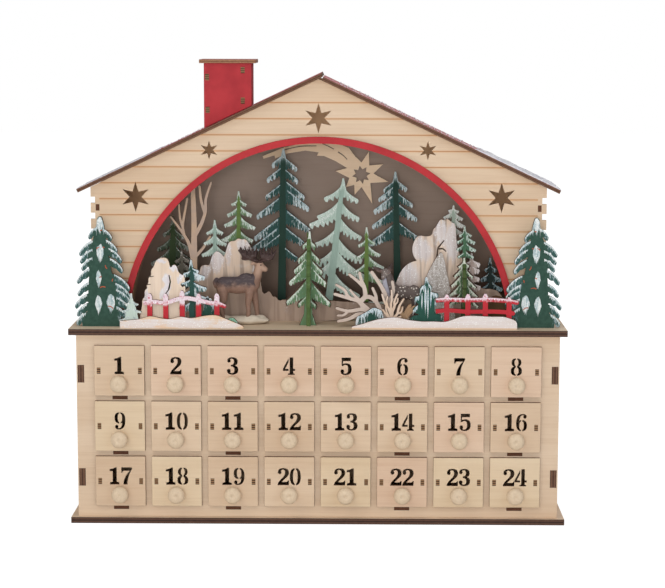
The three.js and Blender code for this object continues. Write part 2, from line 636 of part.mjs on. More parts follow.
// Right garden: snow bank, fence, bushes, a bare bush and a crossed fir, glued one behind the other
function makeGardenRight() {
  const bank = onDeck([
    [27, 0], [158, 0], [156, 5], [146, 8.5], [132, 9.5], [118, 9], [108, 6.5], [92, 6], [80, 7], [66, 9],
    [55, 8.5], [42, 6], [34, 3.5],
  ]);
  const fence = {
    left: 93, right: 159, stripRise: 6, posts: [102.3, 119, 132.4, 151.5], postHalfW: 2.1,
    postTops: [28, 28, 28, 28], rails: [[12, 16], [20.5, 25]],
  };
  const blueBush = onDeck([
    [71, 0], [100, 0], [100, 6], [95, 9], [98, 12], [94, 16], [95.5, 20], [92, 24], [93, 29], [89.5, 32],
    [86, 38.5], [83, 33], [80.5, 28], [79, 24], [76.5, 20], [78, 16], [74, 12], [75, 8],
  ]);
  const darkBush = onDeck([[29, 0], [53, 0], [52.5, 7], [50, 13], [46, 17], [41.4, 16], [36, 11], [31, 7]]);
  const tanBush = onDeck([[64, 0], [74, 0], [74, 14], [70, 18], [66, 12]]);
  const paleTwigs = [
    [[60, 0], [60, 22], 2], [[60, 8], [52, 26], 1.3], [[60, 8], [69, 26], 1.3], [[60, 16], [58, 33], 1.2],
    [[60, 14], [64, 31], 1.2],
  ];
  const greyTwigs = [
    [[40, 0], [36, 16], 3], [[36, 14], [14, 38], 2.2], [[36, 14], [30, 48], 2.2], [[37, 10], [46, 44], 2],
    [[24, 26], [13, 24], 1.6], [[38, 6], [15, 10], 1.8], [[32, 32], [20, 45], 1.6],
  ];
  const crossedX = ARCH_R - CROSSED_FIR_FROM_ARCH;
  const crossed = { x: crossedX, foot: DECK, top: DECK + 55, halfW: 11.5, tiers: 4, trunk: 3, skirt: 0.2 };
  const layer = PLY - GLUE_LAP;
  const front = rowFace(BANK_ROW);
  const backRow = front + 3 * layer;
  const crossedY = backRow + crossed.halfW - GLUE_LAP;
  const groundRise = 5;
  const groundStrip = rectangle(40, crossedX + crossed.halfW, DECK, DECK + groundRise);
  addPiece('garden_right', join(
    ...plateOf([bank], front),
    ...plateOf([darkBush], front + layer),
    ...fencePlates(fence, front + layer),
    ...plateOf([blueBush, tanBush, groundStrip], front + 2 * layer),
    ...twigPlates(paleTwigs, front + 2 * layer),
    ...twigPlates(greyTwigs, backRow),
    ...crossedFir(crossed, crossedY),
    block(crossedX - PLY / 2, crossedX + PLY / 2, backRow - GLUE_LAP, crossedY, DECK, DECK + groundRise),
  ), SNOWY_RED);
}

// Ridge: rocks left and right on one plate, with a low strip of ground between them
function makeRidge() {
  const ridge = onDeck([
    [-148, 0], [150, 0], [149, 12], [143, 23], [135, 21], [129.7, 29], [126, 38], [122.6, 46], [119, 55],
    [115.9, 63], [112, 71], [107.7, 76.5], [103, 80], [99, 82], [95, 79], [93.2, 75], [91.8, 70], [81, 70],
    [78.5, 62], [76.1, 58], [71, 50], [68.3, 46], [65, 38], [63.2, 31], [57.9, 17.5], [40, 16], [21, 17],
    [4, 15], [-14, 17], [-33.5, 18.5], [-40.7, 24.5], [-46.2, 31], [-50, 48], [-55.2, 61.5], [-63.1, 66],
    [-69, 66], [-73.2, 63.5], [-75, 57], [-77.3, 52], [-81, 54], [-85.6, 55.5], [-91.5, 49.5], [-97, 42],
    [-103, 30], [-112, 24], [-130, 22], [-142, 14],
  ]);
  addPiece('rock_ridge', uprightPlate(ridge, innerRowFace(1)), ROCK);
}

// Middle forest: small firs and a bare tree on one plate
function makeMiddleForest() {
  const strip = onDeck([[-124, 0], [140, 0], [140, 14], [-124, 14]]);
  const firs = [
    { x: -85, top: 82, halfW: 10.5, tiers: 4, trunk: 2.5, skirt: 0.64 },
    { x: -66, top: 105, halfW: 14, tiers: 5, trunk: 2.2, skirt: 0.58 },
    { x: 39, top: 76, halfW: 10, tiers: 6, trunk: 2, skirt: 0.3 },
    { x: 109.6, top: 93, halfW: 10, tiers: 5, trunk: 3, skirt: 0.4 },
    { x: 122, top: 75, halfW: 12, tiers: 6, trunk: 3, skirt: 0.2 },
    { x: 137, top: 51, halfW: 8.5, tiers: 5, trunk: 2.5, skirt: 0.2 },
  ].map((fir) => firShape({ ...fir, foot: DECK, top: DECK + fir.top }));
  const bareTree = [
    [[-102.5, 0], [-102.5, 74], 2.6], [[-102.5, 70], [-119, 84], 1.6], [[-103.5, 72], [-108, 98], 1.4],
    [[-102, 72], [-88, 113], 1.6], [[-102.5, 72], [-104, 105], 1.6],
  ];
  const farLeft = firShape({ x: -118, foot: DECK, top: DECK + 60, halfW: 9, tiers: 4, trunk: 2, skirt: 0.4 });
  const face = innerRowFace(2);
  const plates = plateOf([strip, ...firs, farLeft], face);
  addPiece('middle_forest', join(...plates, ...twigPlates(bareTree, face)), MINT);
}

// Rear forest: the tall firs on one plate
function makeRearForest() {
  const strip = onDeck([[-60, 0], [90, 0], [90, 12], [-60, 12]]);
  const firs = [
    { x: -32, top: 139, halfW: 24, tiers: 7, trunk: 3.2, skirt: 0.36 },
    { x: 9, top: 115, halfW: 22, tiers: 6, trunk: 3, skirt: 0.16, lean: 9 },
    { x: 65, top: 120, halfW: 22, tiers: 6, trunk: 3, skirt: 0.38, lean: -2 },
  ].map((fir) => firShape({ ...fir, foot: DECK, top: DECK + fir.top }));
  addPiece('rear_forest', join(...plateOf([strip, ...firs], innerRowFace(3))), FIR_GREEN);
}

// Comet: a star of uneven rays with a tail that bends along the arch, flat against the backdrop
function makeComet() {
  const centre = [34.3, DECK + 116.3];
  const waist = 9.5;
  const rays = [
    [106, 15], [72, 20.4], [26, 20.1], [-14.5, 23.6], [-69, 25.9], [-108, 17.5], [-141, 16.4], [-188, 21.6],
  ];
  const corners = rays.flatMap(([degrees, reach], index) => {
    const next = index + 1 < rays.length ? rays[index + 1][0] : rays[0][0] - 360;
    const between = (degrees + next) / 2;
    return [[degrees, reach], [between, waist]];
  });
  const star = polygon(corners.map(([degrees, reach]) => {
    const angle = THREE.MathUtils.degToRad(degrees);
    return [centre[0] + reach * Math.cos(angle), centre[1] + reach * Math.sin(angle)];
  }).reverse());
  const tail = onDeck([
    [30, 112], [33, 124], [22, 137], [11, 142.5], [0, 143.5], [-12, 143], [-30, 139], [-47, 130.5], [-38, 131],
    [-24, 134.5], [-12, 135.5], [-3.5, 134.8], [-1, 131.5], [10, 129], [23, 121.5],
  ]);
  const eye = uprightPlate(starShape(centre[0], centre[1], 7.5, 8, 0.6), BACKDROP - 2 * PLY, 3 * PLY);
  const face = BACKDROP - PLY;
  addPiece('comet_star', cut(join(uprightPlate(star, face), uprightPlate(tail, face)), eye), BIRCH);
}

// A rounded mass of a figure
function mass([x, y, z], [rx, ry, rz], tilt = 0) {
  return new THREE.SphereGeometry(1, 8, 6).scale(rx, ry, rz).rotateY(tilt).translate(x, y, z);
}

// A tapering limb of a figure between two points
function limb(from, to, r0, r1, sides = 5) {
  const a = new THREE.Vector3(...from);
  const b = new THREE.Vector3(...to);
  const geometry = new THREE.CylinderGeometry(r1, r0, a.distanceTo(b), sides);
  const way = b.clone().sub(a).normalize();
  const turn = new THREE.Quaternion().setFromUnitVectors(new THREE.Vector3(0, 1, 0), way);
  return geometry.applyQuaternion(turn).translate(...a.add(b).multiplyScalar(0.5).toArray());
}

// A standing deer on its oval foot plate, facing along the given way in X
function deer({ x, y, footW, footD, footT, length, girth, back, withers, way }) {
  const at = (along, across, rise) => [x + way * along, y + across, DECK + rise];
  const legTop = back - girth;
  const foot = new THREE.CylinderGeometry(0.5, 0.5, footT, 14).rotateX(Math.PI / 2).scale(footW, footD, 1);
  const parts = [
    foot.translate(x, y, DECK + footT / 2),
    mass(at(0, 0, back - girth * 0.55), [length * 0.42, girth * 0.4, girth * 0.5]),
    mass(at(-length * 0.3, 0, back - girth * 0.5), [girth * 0.55, girth * 0.42, girth * 0.58]),
    mass(at(length * 0.28, 0, back - girth * 0.5), [girth * 0.55, girth * 0.42, girth * 0.6]),
    limb(at(length * 0.3, 0, back - girth * 0.5), at(length * 0.5, 0, withers), girth * 0.38, girth * 0.22),
    mass(at(length * 0.54, 0, withers), [girth * 0.3, girth * 0.22, girth * 0.25]),
    limb(at(length * 0.54, 0, withers), at(length * 0.72, 0, withers - girth * 0.3), girth * 0.2, girth * 0.12),
    limb(at(-length * 0.42, 0, back - girth * 0.2), at(-length * 0.5, 0, back - girth * 0.6), 1.6, 1),
  ];
  for (const along of [0.32 * length, -0.36 * length]) {
    for (const side of [-1, 1]) {
      const hip = at(along, side * girth * 0.2, legTop + girth * 0.4);
      const hoof = at(along * (1 + 0.05 * side), side * girth * 0.28, footT - GLUE_LAP);
      parts.push(limb(hip, hoof, girth * 0.16, girth * 0.09));
    }
  }
  return { parts, at };
}

function makeStag() {
  const { parts, at } = deer({
    x: -64, y: rowFace(STAG_ROW), footW: 46, footD: 17, footT: 5, way: 1,
    length: 40, girth: 18, back: 41, withers: 47,
  });
  for (const side of [-1, 1]) {
    const root = at(20.5, side * 1.5, 49);
    const bend = at(20, side * 7, 57);
    const tip = at(25, side * 9.5, 64);
    parts.push(limb(root, bend, 1.5, 1.2), limb(bend, tip, 1.3, 0.8));
    parts.push(limb(bend, at(13, side * 8, 62), 1.2, 0.8));
  }
  addPiece('stag_figure', join(...parts), STAG_BROWN);
}

function makeFawn() {
  const footD = 13;
  const { parts, at } = deer({
    x: 68, y: innerRowFace(1) - footD / 2 - FAWN_CLEARANCE, footW: 34, footD, footT: 4, way: -1,
    length: 27, girth: 13, back: 32, withers: 37,
  });
  for (const side of [-1, 1]) {
    parts.push(limb(at(13.5, side * 1.5, 38), at(14, side * 5.5, 45), 1.5, 0.9));
  }
  addPiece('fawn_figure', join(...parts), FAWN_BROWN);
}

makeBoards();
makeCabinetPanels();
makeCabinetSides();
makeShelves();
makeDividers();
makeDrawers();
makeHouseFront();
makeArchBand();
makeHouseBack();
makeHouseSides();
makeRoof();
makeChimney();
makeCornerTrees();
makeCentreTree();
makeGardenLeft();
makeGardenRight();
makeRidge();
makeMiddleForest();
makeRearForest();
makeComet();
makeStag();
makeFawn();

export default calendar;
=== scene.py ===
"""Looks of a wooden advent calendar.

A cabinet of 24 numbered drawers carries a gabled house front. Its arch opens on a winter forest of
cut plywood, with a stag, a fawn and a comet. Sizes are in millimetres and are turned into metres
where a mesh is made. Front is towards -Y, and +Z is up.
"""

from __future__ import annotations

import logging
import math
import random
from dataclasses import dataclass, replace
from enum import Enum
from typing import Iterable, Sequence

import bmesh
import bpy
from mathutils import Matrix, Vector, geometry, noise

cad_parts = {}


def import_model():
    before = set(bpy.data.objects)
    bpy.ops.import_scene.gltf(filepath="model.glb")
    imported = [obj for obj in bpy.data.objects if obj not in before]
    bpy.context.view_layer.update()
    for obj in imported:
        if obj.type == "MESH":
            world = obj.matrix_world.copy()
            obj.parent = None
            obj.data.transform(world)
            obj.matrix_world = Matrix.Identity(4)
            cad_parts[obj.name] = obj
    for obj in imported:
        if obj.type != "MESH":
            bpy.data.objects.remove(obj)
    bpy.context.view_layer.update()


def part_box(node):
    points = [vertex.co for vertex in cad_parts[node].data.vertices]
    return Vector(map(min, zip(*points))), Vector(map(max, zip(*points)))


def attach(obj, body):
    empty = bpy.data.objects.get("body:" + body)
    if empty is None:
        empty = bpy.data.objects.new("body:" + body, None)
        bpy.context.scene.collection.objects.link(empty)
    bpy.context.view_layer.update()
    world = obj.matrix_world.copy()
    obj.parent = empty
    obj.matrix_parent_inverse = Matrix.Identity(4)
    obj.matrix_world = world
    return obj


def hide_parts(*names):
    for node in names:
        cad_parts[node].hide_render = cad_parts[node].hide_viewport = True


log = logging.getLogger("calendar")

MM = 0.001
PLY = 3
DECK = 157.5
CLOSE = 1e-6
COAT_STAND_OUT = 0.14
BURN_STAND_OUT = 0.24
COAT_DEPTH = 0.3
SKIN_STAND_OUT = 0.12
SKIN_FROST_STAND_OUT = 0.22
SKIN_DEPTH = 0.2
SKIN_INSET = 0.75
FAR_AHEAD = -500.0
ALL_DEPTH = 1000.0
MAIN_BODY = "calendar_body"

Point = tuple[float, float]
Loop = list[Point]
Colour = tuple[float, float, float]
Direction = tuple[float, float, float]


def srgb(red: float, green: float, blue: float) -> Colour:
    """Turns a screen colour of 0 to 255 into the linear colour that a shader takes.

    Args:
        red: The red part.
        green: The green part.
        blue: The blue part.

    Returns:
        The linear colour.
    """
    def channel(value: float) -> float:
        """Turns one channel linear."""
        share = value / 255
        return share / 12.92 if share <= 0.04045 else ((share + 0.055) / 1.055) ** 2.4

    return channel(red), channel(green), channel(blue)


BIRCH_LIGHT = srgb(229, 206, 180)
BIRCH_DARK = srgb(208, 178, 147)
BURNT = srgb(58, 34, 27)
SINGED = srgb(124, 82, 58)
BURNT_LINE = srgb(66, 44, 34)
RED = srgb(184, 36, 44)
FIR_DARK = srgb(28, 74, 60)
FIR_BLUE = srgb(46, 92, 92)
MINT = srgb(186, 208, 197)
MINT_TRUNK = srgb(166, 192, 180)
SNOW = srgb(238, 237, 242)
LAVENDER = srgb(214, 206, 214)
WHITE = srgb(255, 255, 255)


class Axis(Enum):
    """The direction that a plate's thickness runs in."""

    X = (1.0, 0.0, 0.0)
    Y = (0.0, 1.0, 0.0)
    Z = (0.0, 0.0, 1.0)


class Wire:
    """A socket of a material, with arithmetic on its value."""

    def __init__(self, sheet: "Sheet", socket: bpy.types.NodeSocket) -> None:
        """Keeps the socket and the sheet that its nodes are on."""
        self.sheet = sheet
        self.socket = socket

    def math(self, operation: str, *others: "Wire | float") -> "Wire":
        """Adds a Math node with this value first and gives its result."""
        return self.sheet.wire("ShaderNodeMath", {"operation": operation}, dict(enumerate((self, *others))))

    def __add__(self, other: "Wire | float") -> "Wire":
        """Adds."""
        return self.math("ADD", other)

    __radd__ = __add__

    def __mul__(self, other: "Wire | float") -> "Wire":
        """Multiplies."""
        return self.math("MULTIPLY", other)

    __rmul__ = __mul__

    def __sub__(self, other: "Wire | float") -> "Wire":
        """Subtracts."""
        return self.math("SUBTRACT", other)

    def __rsub__(self, other: float) -> "Wire":
        """Takes this value from a number."""
        return (self * -1) + other

    def __truediv__(self, other: "Wire | float") -> "Wire":
        """Divides."""
        return self.math("DIVIDE", other)

    def __abs__(self) -> "Wire":
        """Drops the sign."""
        return self.math("ABSOLUTE")

    def larger(self, other: "Wire | float") -> "Wire":
        """Gives the larger of two values."""
        return self.math("MAXIMUM", other)

    def smaller(self, other: "Wire | float") -> "Wire":
        """Gives the smaller of two values."""
        return self.math("MINIMUM", other)

    def ramp(self, low: float, high: float) -> "Wire":
        """Rises smoothly from 0 at low to 1 at high, or falls where low is above high.

        Args:
            low: Where it is 0.
            high: Where it is 1.

        Returns:
            The ramp.
        """
        first, last = min(low, high), max(low, high)
        risen = self.sheet.wire(
            "ShaderNodeMapRange", {"interpolation_type": "SMOOTHSTEP"},
            {"Value": self, "From Min": first, "From Max": last})
        return risen if low < high else 1 - risen


class Sheet:
    """A tree of nodes, with one method that adds any node."""

    def __init__(self, tree: bpy.types.NodeTree) -> None:
        """Keeps the tree."""
        self.tree = tree

    def node(self, kind: str, settings: dict | None = None, inputs: dict | None = None) -> bpy.types.Node:
        """Adds a node.

        Args:
            kind: The node's type.
            settings: Its settings by name.
            inputs: Its sockets' values or links, by name or number.

        Returns:
            The node.
        """
        made = self.tree.nodes.new(kind)
        for name, value in (settings or {}).items():
            setattr(made, name, value)
        for key, value in (inputs or {}).items():
            source = value.socket if isinstance(value, Wire) else value
            if isinstance(source, bpy.types.NodeSocket):
                self.tree.links.new(source, made.inputs[key])
            elif isinstance(source, tuple) and made.inputs[key].type == "RGBA":
                made.inputs[key].default_value = (*source, 1)
            else:
                made.inputs[key].default_value = source
        return made

    def wire(self, kind: str, settings: dict | None = None, inputs: dict | None = None,
             output: int | str = 0) -> Wire:
        """Adds a node and gives one of its outputs, by name or number, ready for arithmetic."""
        return Wire(self, self.node(kind, settings, inputs).outputs[output])


class Paintbox(Sheet):
    """The nodes of one material, with the patterns that the finishes share."""

    def __init__(self, name: str) -> None:
        """Starts an empty material of that name.

        Args:
            name: The material's name.
        """
        self.material = bpy.data.materials.new(name)
        self.material.use_nodes = True
        super().__init__(self.material.node_tree)
        self.tree.nodes.clear()
        self.place = self.stretch(self.wire("ShaderNodeTexCoord", output="Object"), (1 / MM,) * 3)
        split = self.node("ShaderNodeSeparateXYZ", inputs={0: self.place})
        self.x, self.y, self.z = (Wire(self, socket) for socket in split.outputs)
        self.normal = self.wire("ShaderNodeNewGeometry", output="True Normal")

    def stretch(self, vector: Wire, scale: Direction) -> Wire:
        """Multiplies a vector by a scale."""
        return self.wire("ShaderNodeVectorMath", {"operation": "MULTIPLY"}, {0: vector, 1: scale})

    def along(self, vector: Wire, direction: Direction) -> Wire:
        """Gives how far a vector reaches in a direction."""
        settings = {"operation": "DOT_PRODUCT"}
        return self.wire("ShaderNodeVectorMath", settings, {0: vector, 1: direction}, "Value")

    def noise(self, scale: Direction | float, detail: float = 2.0, roughness: float = 0.5,
              distortion: float = 0.0) -> Wire:
        """Gives soft noise from 0 to 1, its scale in waves per millimetre, for each axis or for all."""
        place = self.stretch(self.place, scale if isinstance(scale, tuple) else (scale,) * 3)
        return self.wire("ShaderNodeTexNoise", {}, {"Vector": place, "Scale": 1, "Detail": detail,
                                                    "Roughness": roughness, "Distortion": distortion})

    def specks(self, size: float, share: float) -> Wire:
        """Gives a mask of bright specks, their size in millimetres, in a share of the cells."""
        cell = self.wire("ShaderNodeTexVoronoi", {}, {"Vector": self.place, "Scale": 1 / size}, "Color")
        return self.wire("ShaderNodeSeparateColor", {}, {0: cell}).ramp(1 - share, 1 - share * 0.6)

    def mix(self, factor: Wire | float, first: Wire | Colour, second: Wire | Colour) -> Wire:
        """Mixes two colours: 0 gives the first, and 1 the second."""
        return self.wire("ShaderNodeMix", {"data_type": "RGBA"}, {0: factor, 6: first, 7: second}, 2)

    def finish(self, colour: Wire, roughness: Wire | float = 0.65, height: Wire | None = None,
               depth: float = 0.05, coat: float = 0.0) -> bpy.types.Material:
        """Ends the material with its shader.

        Args:
            colour: The base colour.
            roughness: The roughness, as a number or a link.
            height: A height from 0 to 1 for the bump.
            depth: The bump's depth in millimetres.
            coat: The weight of a clear coat.

        Returns:
            The material.
        """
        inputs: dict = {"Base Color": colour, "Roughness": roughness, "Specular IOR Level": 0.35}
        if coat:
            inputs["Coat Weight"] = coat
            inputs["Coat Roughness"] = 0.3
        if height is not None:
            bump = {"Strength": 1, "Distance": depth * MM, "Height": height}
            inputs["Normal"] = self.wire("ShaderNodeBump", {}, bump, "Normal")
        shader = self.node("ShaderNodeBsdfPrincipled", {}, inputs)
        self.node("ShaderNodeOutputMaterial", {}, {"Surface": shader.outputs[0]})
        return self.material


@dataclass(frozen=True)
class Surface:
    """What a finish paints on a face."""

    colour: Wire
    roughness: Wire | float
    height: Wire


def wood(box: Paintbox, grain: Axis, light: Colour, dark: Colour) -> Surface:
    """Paints birch veneer: broad clouds, fine streaks along the grain, and short pores.

    Args:
        box: The material.
        grain: The way the grain runs.
        light: The wood between the streaks.
        dark: The streaks.

    Returns:
        The painted face.
    """
    def run(slow: float, fast: float) -> Direction:
        """Gives a scale that is slow along the grain and fast across it."""
        return tuple(slow if part else fast for part in grain.value)

    clouds = box.noise(run(0.006, 0.03), 2, 0.5, 0.6)
    streaks = box.noise(run(0.012, 0.42), 3, 0.6, 0.9)
    pores = box.noise(run(0.16, 3.1), 2, 0.5)
    tone = (clouds.ramp(0.3, 0.72) * 0.45 + streaks.ramp(0.35, 0.75) * 0.3
            + pores.ramp(0.55, 0.8) * 0.16)
    return Surface(box.mix(tone, light, dark), 0.62 + pores * 0.12, streaks * 0.6 + pores * 0.4)


@dataclass(frozen=True)
class Plywood:
    """Birch plywood: pale grained faces, and edges that a laser burnt brown, layer by layer.

    Attributes:
        start: Where the plate starts along its axis, in millimetres.
        axis: The way the plate's thickness runs.
        thickness: The plate's thickness.
        grain: The way the face grain runs.
        layers: The number of layers that the edge shows.
        light: The face between the streaks of its grain.
        dark: The streaks.
        edge_dark: The edge where it is burnt most.
        edge_light: The edge between the burnt layers.
    """

    start: float = 0.0
    axis: Direction = Axis.Y.value
    thickness: float = PLY
    grain: Axis = Axis.X
    layers: int = 3
    light: Colour = BIRCH_LIGHT
    dark: Colour = BIRCH_DARK
    edge_dark: Colour = BURNT
    edge_light: Colour = SINGED

    def face(self, box: Paintbox) -> Surface:
        """Paints the flat faces."""
        return wood(box, self.grain, self.light, self.dark)

    def make(self, name: str) -> bpy.types.Material:
        """Builds the material under a name.

        Args:
            name: The name.

        Returns:
            The material.
        """
        box = Paintbox(name)
        face = self.face(box)
        facing = abs(box.along(box.normal, self.axis)).ramp(0.8, 0.92)
        depth = (box.along(box.place, self.axis) - self.start) * (self.layers / self.thickness)
        layer = abs(depth.math("FRACT") - 0.5).ramp(0.12, 0.42)
        soot = box.noise(0.35, 3, 0.6)
        edge = box.mix(layer * 0.65 + soot * 0.55 - 0.1, self.edge_light, self.edge_dark)
        colour = box.mix(facing, edge, face.colour)
        rough = face.roughness
        if isinstance(rough, Wire):
            rough = rough * facing + (1 - facing) * 0.85
        return box.finish(colour, rough, face.height * facing + layer * (1 - facing), 0.06)


@dataclass(frozen=True)
class ScoredFront(Plywood):
    """The house front's face, with a singed score line at each joint between planks.

    Attributes:
        top_score: The height of the topmost line.
        pitch: The distance between lines.
        half_width: Half the house front's width.
        stop: How far short of the side edges a line ends.
    """

    top_score: float = 0.0
    pitch: float = 12.8
    half_width: float = 182.0
    stop: float = 7.0

    def face(self, box: Paintbox) -> Surface:
        """Paints the planks and the lines between them.

        Args:
            box: The material.

        Returns:
            The painted face.
        """
        base = wood(box, Axis.X, self.light, self.dark)
        planks = (box.z - self.top_score) / self.pitch
        index = planks.math("FLOOR")
        tone = box.wire("ShaderNodeTexWhiteNoise", {"noise_dimensions": "1D"}, {"W": index}) * 0.16
        colour = box.mix(tone, base.colour, srgb(213, 176, 132))
        offset = abs(planks.math("FRACT").math("PINGPONG", 0.5)) * self.pitch
        inside = abs(box.x).ramp(self.half_width - self.stop + 0.3, self.half_width - self.stop - 0.3)
        below = box.z.ramp(self.top_score + 2, self.top_score + 1)
        line = offset.ramp(0.5, 0.2) * inside * below
        glow = offset.ramp(1.7, 0.2) * inside * below
        colour = box.mix(glow * 0.4, colour, srgb(222, 170, 116))
        colour = box.mix(line * 0.8, colour, srgb(184, 124, 74))
        return Surface(colour, base.roughness, base.height * 0.3 - line)


@dataclass(frozen=True)
class Painted(Plywood):
    """Plywood with a thin coat of paint, through which the grain shows a little.

    Attributes:
        paint: The paint's colour.
        worn: The colour where the coat is thin.
        wear: How much of the thin colour shows.
        sheen: The coat's roughness.
    """

    paint: Colour = RED
    worn: Colour = srgb(150, 28, 36)
    wear: float = 0.5
    sheen: float = 0.5

    def face(self, box: Paintbox) -> Surface:
        """Paints the coat.

        Args:
            box: The material.

        Returns:
            The painted face.
        """
        grain = wood(box, self.grain, self.light, self.dark)
        patches = box.noise(0.05, 3, 0.6)
        tone = patches.ramp(0.35, 0.7) * self.wear
        return Surface(box.mix(tone, self.paint, self.worn), self.sheen + patches * 0.15, grain.height)


@dataclass(frozen=True)
class SnowySheet(Plywood):
    """Plywood painted in cream and lavender, with glitter, and bare wood along its foot.

    Attributes:
        foot: The height of the plate's foot.
        rise: How high the bare wood reaches.
        tint: The snow's darker tint.
        bare: How much of the wood shows, from 0 to 1.
        streaks: How strong the grey strokes on the bare wood are.
        patches: Snow that is always there: its middle, across and up, and its two radii.
        dim_from: The height from which the paint gets darker towards the foot.
        dim_to: The height where it is darkest, or -1 for none.
        cream: The bare wood's colour.
        thick: How thickly the snow is painted, from 0 to 1.
    """

    cream: Colour = srgb(234, 214, 196)
    foot: float = DECK
    rise: float = 4.0
    tint: Colour = LAVENDER
    bare: float = 0.4
    streaks: float = 0.0
    patches: tuple[tuple[float, float, float, float], ...] = ()
    dim_from: float = 0.0
    dim_to: float = -1.0
    thick: float = 0.88

    def face(self, box: Paintbox) -> Surface:
        """Paints snow over wood.

        Args:
            box: The material.

        Returns:
            The painted face.
        """
        base = wood(box, self.grain, self.cream, srgb(218, 192, 168))
        clouds = box.noise((0.05, 0.05, 0.07), 3, 0.55, 0.5)
        strokes = box.noise(tuple(0.035 if part else 0.42 for part in self.grain.value), 3, 0.6)
        shade = box.noise((0.2, 0.2, 0.02), 2, 0.6, 0.4)
        ragged = box.noise((0.13, 0.13, 0.09), 4, 0.7)
        cover = (clouds + strokes * 0.4 - 0.2).ramp(self.bare, self.bare + 0.22)
        cover = cover * box.z.ramp(self.foot + self.rise * 0.3, self.foot + self.rise)
        for x, z, wide, high in self.patches:
            u = (box.x + (ragged - 0.5) * 11 - x) / wide
            v = (box.z + (strokes - 0.5) * 16 + (ragged - 0.5) * 9 - z) / high
            cover = cover.larger((u * u + v * v).math("SQRT").ramp(1.35, 0.7))
        glitter = box.specks(0.55, 0.05) * cover
        snow = box.mix(strokes.ramp(0.22, 0.86), SNOW, self.tint)
        wooden = box.mix(shade.ramp(0.45, 0.66) * self.streaks, base.colour, srgb(158, 138, 126))
        colour = box.mix(cover * self.thick, wooden, snow)
        if self.dim_to > 0:
            dim = (box.z + shade * 14 - 7).ramp(self.dim_from, self.dim_to)
            colour = box.mix(dim * 0.72, colour, srgb(156, 134, 120))
        colour = box.mix(glitter, colour, WHITE)
        return Surface(colour, 0.8 - glitter * 0.5, strokes * 0.5 + cover * 0.5 + glitter)


@dataclass(frozen=True)
class FrostedFir(Plywood):
    """A painted fir: a plain trunk stripe, and branches with strokes of frost towards their tips.

    Attributes:
        foot: The foot of the trunk, across and up.
        top: The tree's top, across and up.
        trunk_half: Half the trunk stripe's width.
        reach: How far the widest branches reach from the trunk.
        trunk: The trunk's colour.
        branch: The branches' colour.
        frost_colour: The frost's colour.
        frost: How much of the branches is white.
        across: The way the tree's width runs.
        snowy_top: The height of the white top.
    """

    foot: Point = (0, 0)
    top: Point = (0, 100)
    trunk_half: float = 3.0
    reach: float = 20.0
    trunk: Colour = FIR_DARK
    branch: Colour = FIR_BLUE
    frost_colour: Colour = srgb(222, 232, 238)
    frost: float = 0.5
    across: Axis = Axis.X
    snowy_top: float = 10.0

    def face(self, box: Paintbox) -> Surface:
        """Paints the tree.

        Args:
            box: The material.

        Returns:
            The painted face.
        """
        side = box.x if self.across is Axis.X else box.y
        height = self.top[1] - self.foot[1]
        risen = (box.z - self.foot[1]) / height
        middle = risen * (self.top[0] - self.foot[0]) + self.foot[0]
        off = abs(side - middle)
        strokes = box.noise((0.95, 0.95, 0.16), 3, 0.6, 0.3)
        dabs = box.noise(0.5, 3, 0.6)
        tipness = off / ((1 - risen) * self.reach + 4)
        level = 0.63 - self.frost * 0.2
        white = (strokes + tipness * 0.27 - 0.12).ramp(level - 0.06, level + 0.07)
        crown = box.z.ramp(self.top[1] - self.snowy_top * 1.5, self.top[1] - self.snowy_top * 0.5)
        white = white.larger(crown * strokes.ramp(0.25, 0.5))
        half = (1 - risen * 0.5) * self.trunk_half
        trunk = (off - half).ramp(0.35, -0.35)
        trunk = trunk * box.z.ramp(self.top[1] - self.snowy_top * 0.6, self.top[1] - self.snowy_top * 1.3)
        white = (1 - trunk) * white
        glitter = box.specks(0.5, 0.05) * white
        shade = box.mix(dabs.ramp(0.3, 0.7) * 0.5, self.branch, self.trunk)
        colour = box.mix(white * 0.88, shade, self.frost_colour)
        bark = box.mix(strokes.ramp(0.3, 0.8) * 0.35, self.trunk, tuple(c * 0.6 for c in self.trunk))
        colour = box.mix(glitter, box.mix(trunk, colour, bark), WHITE)
        return Surface(colour, 0.7 - glitter * 0.4, strokes * 0.4 + white * 0.8)


@dataclass(frozen=True)
class Frost(Plywood):
    """Brushed frost: a pale colour with streaks of a darker one.

    Attributes:
        glitter: The share of the frost that glitters.
    """

    glitter: float = 0.08

    def face(self, box: Paintbox) -> Surface:
        """Paints the frost.

        Args:
            box: The material.

        Returns:
            The painted face.
        """
        strokes = box.noise((0.9, 0.9, 0.13), 3, 0.6, 0.3)
        dabs = box.noise(0.4, 3, 0.6)
        sparks = box.specks(0.5, self.glitter)
        colour = box.mix((strokes * 0.7 + dabs * 0.3).ramp(0.36, 0.66), self.light, self.dark)
        return Surface(box.mix(sparks, colour, WHITE), 0.75 - sparks * 0.4, strokes + sparks)


@dataclass(frozen=True)
class SnowTopped(Painted):
    """Paint with snow along the top of posts and rails.

    Attributes:
        snow_from: The height where the snow starts.
        snow_to: The height from which all is snow.
    """

    snow_from: float = 180.0
    snow_to: float = 184.0

    def face(self, box: Paintbox) -> Surface:
        """Paints the coat and the snow on it.

        Args:
            box: The material.

        Returns:
            The painted face.
        """
        base = Painted.face(self, box)
        ragged = box.noise((0.5, 0.5, 0.3), 3, 0.6)
        snow = (box.z + ragged * 8).ramp(self.snow_from + 3.4, self.snow_to + 3.4)
        white = snow * ragged.ramp(0.3, 0.46)
        glitter = box.specks(0.5, 0.1) * white
        colour = box.mix(white * 0.92, base.colour, srgb(240, 226, 236))
        colour = box.mix(glitter, colour, WHITE)
        return Surface(colour, 0.6, white + base.height * 0.2)


